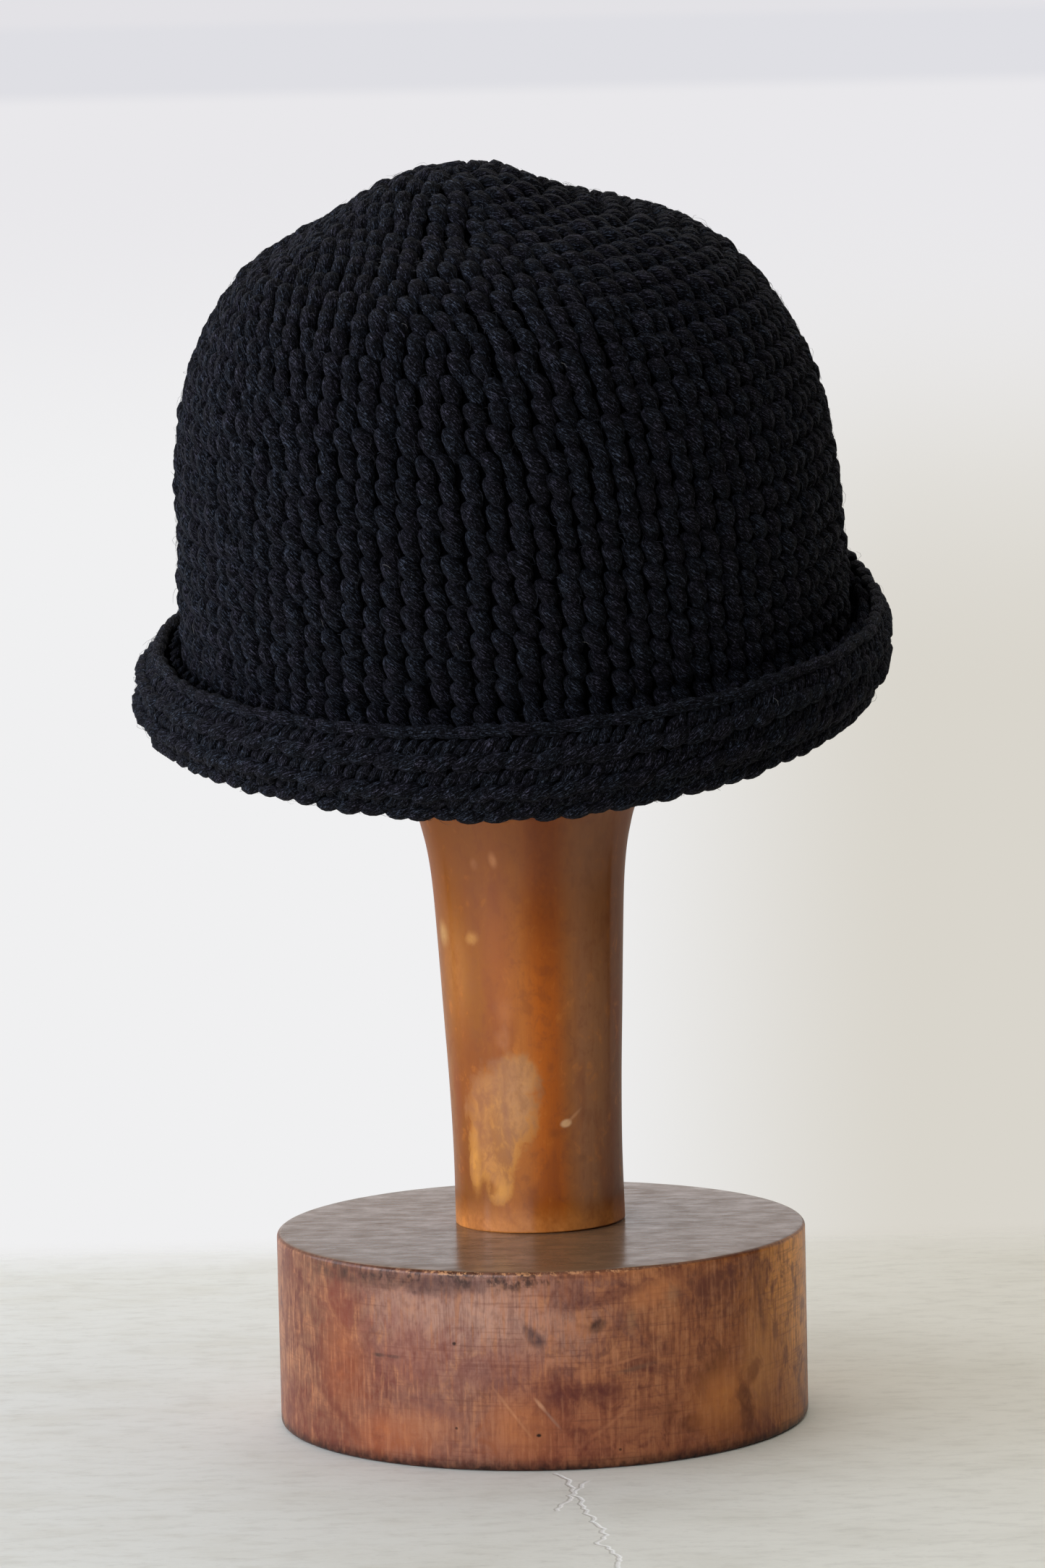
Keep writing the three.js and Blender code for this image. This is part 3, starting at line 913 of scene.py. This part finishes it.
def crown_skin(turn, t):
    """The crown's outside in its own millimetres; t is 0 at the tip and 1 at the hem."""
    height, left, right, front, back = np.moveaxis(along(CROWN_SECTIONS, t), -1, 0)
    fade = np.sin(np.pi * np.minimum(t / WEDGE_END, 1)) ** 2
    share = 1 - WEDGE_DEPTH * fade * (1 + np.cos(WEDGES * turn)) / 2
    return np.stack([
        (right - left) / 2 + (right + left) / 2 * share * np.sin(turn),
        (back - front) / 2 - (back + front) / 2 * share * np.cos(turn),
        height + 0 * turn,
    ], -1)


def unit(vectors):
    return vectors / np.maximum(np.linalg.norm(vectors, axis=-1, keepdims=True), 1e-9)


def slopes(skin, turn, t, *side):
    """How a surface changes down and sideways, over one nudge each way."""
    down = skin(turn, t + NUDGE, *side) - skin(turn, t - NUDGE, *side)
    return down, skin(turn + NUDGE, t, *side) - skin(turn - NUDGE, t, *side)


def sideways_length(skin, turn, t, *side):
    """Millimetres sideways on a surface for one radian of turn."""
    return np.linalg.norm(slopes(skin, turn, t, *side)[1], axis=-1) / (2 * NUDGE)


def crown_lie(turn, t, depth=0.0):
    """Places under the crown's outside, with their outward and sideways directions."""
    t = np.clip(t, NUDGE, 1) + 0 * turn
    down, sideways = slopes(crown_skin, turn, t)
    outward = unit(np.cross(down, sideways))
    return crown_skin(turn, t) - depth * outward, outward, unit(sideways)


whole_turn = np.linspace(0, 2 * np.pi, 361)[:-1]
hem = crown_skin(whole_turn, 1 + 0 * whole_turn)
print("crown hem", round(float(np.ptp(hem[:, 0])), 1), "mm wide")

# %% Brim surface
PATH_STEP = 0.01


def brim_skin(turn, s, side):
    """The brim; s is 0 at the hem and 1 at the lip, side 1 towards the gutter, -1 outside."""
    s = s + 0 * turn
    path = along(BRIM_PATH, s)
    before, after = np.maximum(s - PATH_STEP, 0), np.minimum(s + PATH_STEP, 1)
    run = unit(along(BRIM_PATH, after) - along(BRIM_PATH, before))
    half = KNIT_WALL / 2
    bulge, fold, lip, flare = np.moveaxis(around_turn(BRIM_SWAY, turn), -1, 0)
    middle, edge = np.sin(np.pi * s), s * s
    out = path[..., 0] + bulge * middle + (flare - LIP_HUG * np.sin(turn) ** 2) * edge
    out = out - half * (side * run[..., 1])
    up = path[..., 1] + fold * middle + lip * edge + half * (side * run[..., 0])
    height, left, right, front, back = CROWN_SECTIONS[-1]
    wide, deep = (right + left) / 2 - half + out, (back + front) / 2 - half + out
    return np.stack([
        (right - left) / 2 + wide * np.sin(turn),
        (back - front) / 2 - deep * np.cos(turn),
        height - GAP + up,
    ], -1)


def brim_lie(turn, s, side):
    """Places on the brim with their outward, sideways and run directions."""
    run, sideways = slopes(brim_skin, turn, s, side)
    outward = unit(np.cross(run, sideways)) * np.sign(side)
    return brim_skin(turn, s, side), outward, unit(sideways), unit(run)


print("fabric", KNIT_WALL, "mm thick, rolled along", len(BRIM_PATH), "places")

# %% [markdown]
# ## Wool finish
#
# Black wool isn't one black. Its fibres lie across each stitch at a slant and catch light one
# by one, between deep shadows. Here that light is painted into the colour: pale strokes of
# painted sheen along the fibres and small painted glints. The finish reads a UV map named yarn
# that counts millimetres along and round each strand, so the fibres follow every stitch
# whichever way it lies. A tone kept on each stitch shifts the pattern, so that no two stitches
# are alike.

# %% Black wool
WEAVE_ROWS = 60


def strand_tone(wire):
    """The random number from 0 to 1 that every strand carries."""
    return wire.node("ShaderNodeAttribute", {"attribute_name": "yarn_tone"}, output="Fac")


def black_wool():
    """Fibres and plies that follow each strand, with painted sheen in blue and violet greys on the
    fibres and painted glints.
    """
    material, wire = new_finish("black_wool")
    tone, place = strand_tone(wire), object_place(wire)
    with_lay, across_lay, _ = wire.node("ShaderNodeUVMap", {"uv_map": "yarn"}).parts()
    fibre = cloudy(joined(with_lay * 0.6, across_lay * 4.0, tone * 80), 2.5, 0.6, 0.2)
    ply = cloudy(joined(with_lay * 0.25, across_lay * 1.1, tone * 50 + 7), 2.0)
    patch = cloudy(stretched(place, 7, 7, 7), 2.0)
    speck = cloudy(stretched(place, 0.4, 0.4, 0.4), 1.0)
    nap = cloudy(stretched(place, 0.6, 0.6, 0.6), 2.0, 0.6)
    # painted sheen: pale strokes along the fibres, in blue and violet greys
    painted_fibre_sheen = fibre.fade(0.47, 0.66) * (0.3 + 0.9 * ply.fade(0.3, 0.7)) * nap.fade(0.36, 0.6)
    # painted glints: small pale specks on the fibres
    painted_glint = speck.fade(0.62, 0.74) * fibre.fade(0.52, 0.68)
    hue = blend(patch.fade(0.4, 0.6), (78, 86, 102), (82, 80, 96))
    return finish_with(material, {
        "Base Color": layered((3, 3, 5), (painted_fibre_sheen, hue), (painted_glint * 0.6, (116, 120, 128))),
        "Roughness": 0.9 - 0.2 * fibre, "Specular IOR Level": 0.06,
        "Sheen Weight": 0.02, "Sheen Roughness": 0.5, "Sheen Tint": tint(190, 196, 222),
        "Normal": relief(fibre * 0.5 + ply * 0.9 + nap * 0.9, 1.1, 1.0),
    })


def shadow_wool():
    """The fabric under the stitches and on its wrong side, with the bumps of its rounds, kept
    near-black as painted shade in the gaps between the stitches.
    """
    material, wire = new_finish("wool_wrong_side_and_painted_shade")
    across, up, _ = wire.node("ShaderNodeUVMap", {"uv_map": "weave"}).parts()
    ridge = wire.maths("SINE", up * (2 * math.pi * WEAVE_ROWS))
    bead = wire.maths("SINE", across * (2 * math.pi * STITCHES_ROUND) + ridge)
    fuzz = cloudy(stretched(object_place(wire), 1.2, 1.2, 1.2), 3.0, 0.7)
    # painted shade: near-black, darker than the stitches
    return finish_with(material, {
        "Base Color": blend(fuzz, (2, 2, 3), (7, 7, 9)), "Roughness": 0.9,
        "Specular IOR Level": 0.0, "Normal": relief(ridge * 0.5 + bead * 0.5 + fuzz, 1.2, 0.8),
    })


stitch_wool, wrong_side_and_painted_shade = black_wool(), shadow_wool()
print("wool finishes ready")

# %% [markdown]
# ## Fabric under the stitches
#
# Real stitches are the fabric. Here they are laid on a thin shell, which closes the small gaps
# between them, so that light doesn't come through the hat. The shell keeps the true inside of
# the hat and stays one to three millimetres under the outside, which the stitches then fill.
# Its finish is kept near-black, darker than the stitches, as painted shade in those gaps.

# %% Crown shell
SHELL_DEPTH = 3.2
SHELL_SIDES = 192
SHELL_ROWS = 64

shell_turn = np.arange(SHELL_SIDES) / SHELL_SIDES * 2 * np.pi
down_rows = np.linspace(0, 1, SHELL_ROWS)


def shell_row(t, depth):
    """One ring of the shell; at the tip it is one point."""
    if t == 0:
        tip = crown_skin(shell_turn[:1], np.zeros(1))[0] - np.array([0, 0, depth])
        return np.repeat(tip[None], SHELL_SIDES, 0)
    return crown_lie(shell_turn, t + 0 * shell_turn, depth)[0]


inside = [shell_row(t, KNIT_WALL) for t in down_rows]
outside = [shell_row(t, SHELL_DEPTH) for t in down_rows[::-1]]
crown_mesh = wrapped_mesh("crown_shell", placed(np.array(inside + outside), HAT_SEAT))
put("crown_shell", crown_mesh, wrong_side_and_painted_shade, "crown_yarn", "crown")

# %% Brim shell
BRIM_SHELL_ROWS = 36
SHOWN_DEPTH = 2.7
GUTTER_DEPTH = 1.2
HEM_BLEND = (0.05, 0.3)

brim_rows = []
for s in np.linspace(0, 1, BRIM_SHELL_ROWS):
    sunk = 1 - SHOWN_DEPTH * smooth_step(*HEM_BLEND, s) / (KNIT_WALL / 2)
    brim_rows.append(brim_skin(shell_turn, s, -sunk))
for s in np.linspace(1, 0, BRIM_SHELL_ROWS):
    brim_rows.append(brim_skin(shell_turn, s, 1 - GUTTER_DEPTH / (KNIT_WALL / 2)))
brim_mesh = wrapped_mesh("brim_shell", placed(np.array(brim_rows), HAT_SEAT), loop=True)
put("brim_shell", brim_mesh, wrong_side_and_painted_shade, "brim_yarn", "brim")

# %% [markdown]
# ## Laying the stitches
#
# A crochet stitch is one short loop of thick yarn. Seen from outside it is a plump leaf that
# runs steeply down to the right and tucks under the next one. Modelling nearly four thousand by
# hand would be hopeless, and a bump pattern would leave the outline smooth. So one leaf is built,
# and Geometry Nodes lay it at every point of a cloud. Each point carries the way the stitch
# faces, its sideways direction and its size. The tree turns each leaf a little at random, from
# a fixed seed, then makes the instances real and sets their material.

# %% One strand of yarn
def yarn_leaf(name, length, width, thick, slant, dip=0.0, blunt=0.5, head=1.0, bow=0.0,
              arch=0.0, twist=-22, rings=8, sides=7):
    """A plump strand with closed ends, flat in X and Y with Z outwards, in metres.

    Its UV map named yarn counts millimetres along and across the fibres, which lie at the
    twist's angle to the strand.
    """
    lie = np.array([math.cos(math.radians(slant)), math.sin(math.radians(slant)), 0])
    over = np.array([-lie[1], lie[0], 0])
    share = (1 - np.cos(np.linspace(0, np.pi, rings + 1))) / 2
    bulge = np.maximum(np.sin(np.pi * share ** head), 0) ** blunt
    middle = np.outer((share - 0.5) * length, lie) + np.outer(bow * np.sin(np.pi * share), over)
    middle[:, 2] += dip * (0.5 - share) - arch * (2 * share - 1) ** 2
    girth = np.arange(sides) / sides * 2 * np.pi - np.pi / 2
    flat = bulge[:, None] * np.cos(girth) * width / 2
    tall = bulge[:, None] * np.sin(girth) * thick / 2
    rows = middle[:, None] + flat[..., None] * over + tall[..., None] * np.array([0, 0, 1])
    mesh = wrapped_mesh(name, rows * MM)
    mesh.uv_layers["weave"].name = "yarn"
    spots = np.zeros(len(mesh.loops) * 2, np.float32)
    mesh.uv_layers["yarn"].data.foreach_get("uv", spots)
    around, down = spots.reshape(-1, 2).T
    placed_at = np.interp(down * (rings + 1) / rings, np.linspace(0, 1, rings + 1), share)
    spot = np.stack([placed_at * length, around * math.pi * (width + thick) / 2], -1)
    with_lay, across_lay = math.cos(math.radians(twist)), math.sin(math.radians(twist))
    chart = spot @ np.array([[with_lay, -across_lay], [across_lay, with_lay]])
    mesh.uv_layers["yarn"].data.foreach_set("uv", chart.astype(np.float32).ravel())
    mesh.shade_smooth()
    return bpy.data.objects.new(name, mesh)


crown_leaf = yarn_leaf(
    "crown_leaf", 10.6, 5.4, 5.2, -70, 1.9, blunt=0.5, head=0.78, bow=0.6, arch=1.3, twist=-30
)
print("one leaf:", len(crown_leaf.data.polygons), "faces")

# %% The tree that lays them
TREE_INPUTS = [
    ("Geometry", "NodeSocketGeometry"), ("Strand", "NodeSocketObject"),
    ("Finish", "NodeSocketMaterial"), ("Turn Spread", "NodeSocketVector"),
    ("Size Spread", "NodeSocketFloat"), ("Seed", "NodeSocketInt"),
]


def laying_tree():
    """The tree that lays one strand at every point, turned and sized as the point says."""
    tree = bpy.data.node_groups.new("lay_strands", "GeometryNodeTree")
    for name, kind in TREE_INPUTS:
        tree.interface.new_socket(name, in_out="INPUT", socket_type=kind)
    tree.interface.new_socket("Geometry", in_out="OUTPUT", socket_type="NodeSocketGeometry")
    wire = Wire(tree)
    given = wire.node("NodeGroupInput")
    cloud, strand, finish, turn_spread, size_spread, seed = map(given.other, range(len(TREE_INPUTS)))

    def kept(name):
        settings = {"data_type": "FLOAT_VECTOR"}
        return wire.node("GeometryNodeInputNamedAttribute", settings, {"Name": name})

    def scaled(vector, times):
        settings = {"operation": "SCALE"}
        return wire.node("ShaderNodeVectorMath", settings, {0: vector, "Scale": times})

    def drawn(low, high, step):
        """A random number for each point."""
        sockets = {2: low, 3: high, "Seed": seed + step}
        return wire.node("FunctionNodeRandomValue", {"data_type": "FLOAT"}, sockets, output=1)

    facing = wire.node(
        "FunctionNodeAxesToRotation", {"primary_axis": "Z", "secondary_axis": "X"},
        {0: kept("outward"), 1: kept("sideways")},
    )
    stray = wire.node(
        "FunctionNodeRandomValue", {"data_type": "FLOAT_VECTOR"},
        {0: scaled(turn_spread, -1.0), 1: turn_spread, "Seed": seed},
    )
    turned = wire.node("FunctionNodeRotateRotation", {"rotation_space": "LOCAL"}, {
        0: facing, 1: wire.node("FunctionNodeEulerToRotation", {}, {0: stray}),
    })
    laid = wire.node("GeometryNodeInstanceOnPoints", {}, {
        "Points": cloud, "Rotation": turned,
        "Instance": wire.node("GeometryNodeObjectInfo", {}, {0: strand}, output="Geometry"),
        "Scale": scaled(kept("size"), drawn(1 - size_spread, 1 + size_spread, 1)),
    })
    toned = wire.node(
        "GeometryNodeStoreNamedAttribute", {"data_type": "FLOAT", "domain": "INSTANCE"},
        {"Geometry": laid, "Name": "yarn_tone", "Value": drawn(0.0, 1.0, 2)},
    )
    real = wire.node("GeometryNodeRealizeInstances", {}, {"Geometry": toned})
    done = wire.node("GeometryNodeSetMaterial", {}, {"Geometry": real, "Material": finish})
    wire.node("NodeGroupOutput", {}, {"Geometry": done})
    return tree


lay_strands = laying_tree()
print("laying tree:", len(lay_strands.nodes), "nodes")

# %% Laying
def cloud_of(places, outward, sideways, size):
    """A mesh of bare points, in metres, that carries how each strand lies."""
    mesh = bpy.data.meshes.new("points")
    mesh.from_pydata(placed(places, HAT_SEAT).tolist(), [], [])
    turn = np.array(HAT_SEAT.to_3x3()).T
    lies = {"outward": outward @ turn, "sideways": sideways @ turn, "size": size}
    for label, values in lies.items():
        kept = mesh.attributes.new(label, "FLOAT_VECTOR", "POINT")
        kept.data.foreach_set("vector", np.ascontiguousarray(values, np.float32).ravel())
    return mesh


def lay(name, cloud, strand, finish, slot, turn_spread, size_spread, seed):
    """Lays a strand over a cloud and puts the finished piece in its place."""
    work = bpy.data.objects.new("work", cloud)
    bpy.context.scene.collection.objects.link(work)
    layer = work.modifiers.new("laying", "NODES")
    layer.node_group = lay_strands
    values = {
        "Strand": strand, "Finish": finish, "Turn Spread": turn_spread,
        "Size Spread": size_spread, "Seed": seed,
    }
    for socket in lay_strands.interface.items_tree:
        if socket.name in values:
            layer[socket.identifier] = values[socket.name]
    graph = bpy.context.evaluated_depsgraph_get()
    mesh = bpy.data.meshes.new_from_object(
        work.evaluated_get(graph), preserve_all_data_layers=True, depsgraph=graph
    )
    bpy.data.objects.remove(work)
    mesh.name = name
    for label in ("outward", "sideways", "size"):
        if label in mesh.attributes:
            mesh.attributes.remove(mesh.attributes[label])
    put(name, mesh, finish, slot)


print("ready to lay strands")

# %% Where the crown's rounds run
STITCH_WIDTH = 6.1
ROUND_HEIGHT = 6.8
STITCHES_A_WEDGE = STITCHES_ROUND // WEDGES


def summed(steps):
    """The running sum of some steps, from 0."""
    return np.concatenate([[0], np.cumsum(steps)])


def run_down(skin):
    """Mean length down a grid of places on a surface, at each of its rows."""
    return summed(np.linalg.norm(np.diff(skin, axis=0), axis=-1).mean(1))


fine_t = np.linspace(0, 1, 501)
some_turns = np.arange(STITCHES_ROUND) / STITCHES_ROUND * 2 * np.pi
mesh_t, mesh_turn = np.meshgrid(fine_t, some_turns, indexing="ij")
skin = crown_skin(mesh_turn, mesh_t)
arc = run_down(skin)
girth_at = np.linalg.norm(np.roll(skin, -1, 1) - skin, axis=-1).sum(1)
rounds = round(arc[-1] / ROUND_HEIGHT)
round_t = np.interp((np.arange(rounds) + 0.5) / rounds * arc[-1], arc, fine_t)
per_wedge = np.interp(round_t, fine_t, girth_at) / (WEDGES * STITCH_WIDTH)
per_wedge = np.clip(np.round(per_wedge), 1, STITCHES_A_WEDGE).astype(int)
per_wedge = np.maximum.accumulate(per_wedge)
print(rounds, "rounds, stitches a wedge:", per_wedge.tolist())

# %% Crown stitches
LAY_DEPTH = 2.2
FIRST_SEAM = -22.5
SEAM_DRIFT = 10
DRIFT_END = 0.6
WEDGE_TURN = math.radians(360 / WEDGES)
WANDER = (0.28, 0.30, 0.20)
TOP_ROUNDS = 14
STITCH_TURN = (0.10, 0.12, 0.12)


def wandered(places, outward, sideways, seed):
    """Places that stray a little sideways, up and outwards, as hand work does."""
    stray = np.random.default_rng(seed).normal(size=(len(places), 3)) * WANDER
    upward = np.cross(outward, sideways)
    return places + stray[:, :1] * sideways + stray[:, 1:2] * upward + stray[:, 2:] * outward


def crown_cloud(first, last):
    """The points of the rounds from first up to last."""
    turns, places_t, steps = [], [], []
    for t, count in zip(round_t[first:last], per_wedge[first:last]):
        drift = SEAM_DRIFT * max(0, 1 - t / DRIFT_END) ** 2
        seams = np.radians(FIRST_SEAM + drift + 360 / WEDGES * np.arange(WEDGES))
        within = (np.arange(count) + 0.5) / count * WEDGE_TURN
        turns.append((seams[:, None] + within).ravel())
        places_t.append(np.full(turns[-1].size, t))
        steps.append(np.full(turns[-1].size, WEDGE_TURN / count))
    turn, t, step = map(np.concatenate, (turns, places_t, steps))
    places, outward, sideways = crown_lie(turn, t, LAY_DEPTH)
    places = wandered(places, outward, sideways, first)
    wide = sideways_length(crown_skin, turn, t) * step / STITCH_WIDTH
    size = np.stack([wide, np.ones_like(wide), np.clip(wide, 0.8, 1.1)], -1)
    return cloud_of(places, outward, sideways, size)


for name, first, last, seed in (
    ("crown_top_stitches", 0, TOP_ROUNDS, 11), ("crown_side_stitches", TOP_ROUNDS, rounds, 23),
):
    cloud = crown_cloud(first, last)
    lay(name, cloud, crown_leaf, stitch_wool, "crown_yarn", STITCH_TURN, 0.08, seed)

# %% [markdown]
# ## Brim stitches
#
# The brim is the same fabric rolled outwards, so the face that shows is its wrong side. There
# each round makes a smooth bar that lies almost level, with short slanted posts and small dark
# holes under it. The lip ends in a chain. The gutter behind the lip still shows the right side,
# with the crown's own leaves.

# %% Where the brim's rounds run
STRAND_WIDTH = 7.2

fine_s = np.linspace(0, 1, 201)
mesh_s, mesh_turn = np.meshgrid(fine_s, some_turns, indexing="ij")
shown_arc, gutter_arc = (run_down(brim_skin(mesh_turn, mesh_s, side)) for side in (-1, 1))
print("shown face", round(shown_arc[-1], 1), "mm, gutter face", round(gutter_arc[-1], 1), "mm")


def brim_cloud(arcs, lengths, side, depth, seed, shift=0.0, lean_out=0.0):
    """Points on a face of the brim at each length from the lip."""
    turns, places_s = [], []
    for index, length in enumerate(lengths):
        count = np.arange(STITCHES_ROUND) + shift + 0.5 * (index % 2)
        turns.append(count / STITCHES_ROUND * 2 * np.pi)
        places_s.append(np.full(STITCHES_ROUND, np.interp(arcs[-1] - length, arcs, fine_s)))
    turn, s = np.concatenate(turns), np.concatenate(places_s)
    places, outward, sideways, run = brim_lie(turn, s, side)
    places = wandered(places - depth * outward, outward, sideways, seed)
    pitch = sideways_length(brim_skin, turn, s, side) * 2 * np.pi / STITCHES_ROUND
    size = np.stack([pitch / STRAND_WIDTH, np.ones_like(pitch), np.ones_like(pitch)], -1)
    return cloud_of(places, unit(outward + lean_out * run), sideways, size)


# %% Bars, posts, chain and gutter
BAR_STEP = 9.0
BARS_END = 0.9  # as a share of the face
POST_SHIFT = 0.44  # as a share of the step, towards the lip
CHAIN_AT = 0.6
GUTTER_START = 2.6
GUTTER_END = 0.8  # as a share of the face
STRAND_TURN = (0.10, 0.10, 0.12)

# name, length, width, thickness, slant, dip
bar = yarn_leaf("bar", 10.6, 4.9, 4.4, 12, 1.2, blunt=0.45, arch=0.4, twist=-20)
post = yarn_leaf("post", 7.4, 3.4, 3.6, 46, -0.4, arch=0.3, twist=-16)
link = yarn_leaf("link", 11.4, 4.0, 3.6, -5, 0.8, blunt=0.35, arch=0.2, twist=-12)
bar_lengths = np.arange(BAR_STEP, shown_arc[-1] * BARS_END, BAR_STEP)
post_lengths = np.repeat(bar_lengths - BAR_STEP * POST_SHIFT, 2)
SHOWN_STRANDS = [  # name, strand, lengths from the lip, size spread, seed, how the cloud lies
    ("brim_bars", bar, bar_lengths, 0.06, 31, {"depth": 1.1, "seed": 10}),
    ("brim_posts", post, post_lengths, 0.06, 37, {"depth": 2.4, "seed": 11, "shift": 0.25}),
    ("brim_chain", link, [CHAIN_AT], 0.05, 41, {"depth": 1.3, "seed": 11, "lean_out": 0.7}),
]
for name, strand, lengths, spread, seed, how in SHOWN_STRANDS:
    cloud = brim_cloud(shown_arc, lengths, -1, **how)
    lay(name, cloud, strand, stitch_wool, "brim_yarn", STRAND_TURN, spread, seed)
gutter_lengths = np.arange(GUTTER_START, gutter_arc[-1] * GUTTER_END, ROUND_HEIGHT)
cloud = brim_cloud(gutter_arc, gutter_lengths, 1, depth=-0.6, seed=13)
lay("brim_gutter_stitches", cloud, crown_leaf, stitch_wool, "brim_yarn", STITCH_TURN, 0.05, 43)

# %% [markdown]
# ## Stray fibres
#
# Wool is never smooth: loose fibres stand off every stitch, soften its outline and catch the
# light. Hair particles would be lost in an export, so each fibre is a bent thread with three
# sides. The same tree lays thousands of them over the crown and the brim: short ones that hug
# the wool, and a few long ones that stand away from it.

# %% Fibre finish
def fibre_finish():
    """Dark threads, with a very few pale ones."""
    material, wire = new_finish("loose_fibre")
    tone = strand_tone(wire)
    colour = layered(
        (12, 13, 17), (tone.fade(0.3, 1.0), (52, 56, 68)),
        (tone.fade(0.993, 0.996), (120, 118, 116)),
    )
    sockets = {"Base Color": colour, "Roughness": 0.6, "Specular IOR Level": 0.3}
    return finish_with(material, sockets)


loose_fibre = fibre_finish()
fuzz = yarn_leaf("fuzz", 2.2, 0.07, 0.07, -40, blunt=0.15, bow=0.4, arch=0.3, rings=4, sides=3)
stray = yarn_leaf("stray", 5.5, 0.07, 0.07, -40, blunt=0.15, bow=1.4, arch=1.2, rings=6, sides=3)
print("one short fibre:", len(fuzz.data.polygons), "faces")

# %% Fibres on the crown and the brim
FUZZ_TURN, STRAY_TURN = (0.2, 0.3, 0.9), (0.6, 0.7, 3.1)
FIBRE_SPREAD = 0.5


def crown_fibres(count, lift, seed):
    """Random places over the crown, even by area."""
    chance = np.random.default_rng(seed)
    area = summed((girth_at[1:] + girth_at[:-1]) / 2 * np.diff(arc))
    t = np.interp(chance.random(count) * area[-1], area, fine_t)
    turn = chance.random(count) * 2 * np.pi
    places, outward, sideways = crown_lie(turn, t, -lift * chance.random(count)[:, None])
    return cloud_of(places, outward, sideways, np.ones((count, 3)))


def brim_fibres(count, lift, seed):
    """Random places over the brim's shown face and its lip."""
    chance = np.random.default_rng(seed)
    turn, s = chance.random(count) * 2 * np.pi, chance.random(count)
    places, outward, sideways, _ = brim_lie(turn, s, -1)
    places = places + lift * chance.random(count)[:, None] * outward
    return cloud_of(places, outward, sideways, np.ones((count, 3)))


FIBRES = [  # name, slot, where, strand, count, lift, turn spread, seed
    ("crown_fuzz", "crown_yarn", crown_fibres, fuzz, 8000, 0.45, FUZZ_TURN, 51),
    ("crown_strays", "crown_yarn", crown_fibres, stray, 320, 1.0, STRAY_TURN, 53),
    ("brim_fuzz", "brim_yarn", brim_fibres, fuzz, 3600, 0.45, FUZZ_TURN, 55),
    ("brim_strays", "brim_yarn", brim_fibres, stray, 240, 1.0, STRAY_TURN, 57),
]
for name, slot, spread_over, strand, count, lift, turn_spread, seed in FIBRES:
    cloud = spread_over(count, lift, seed)
    lay(name, cloud, strand, loose_fibre, slot, turn_spread, FIBRE_SPREAD, seed + 1)
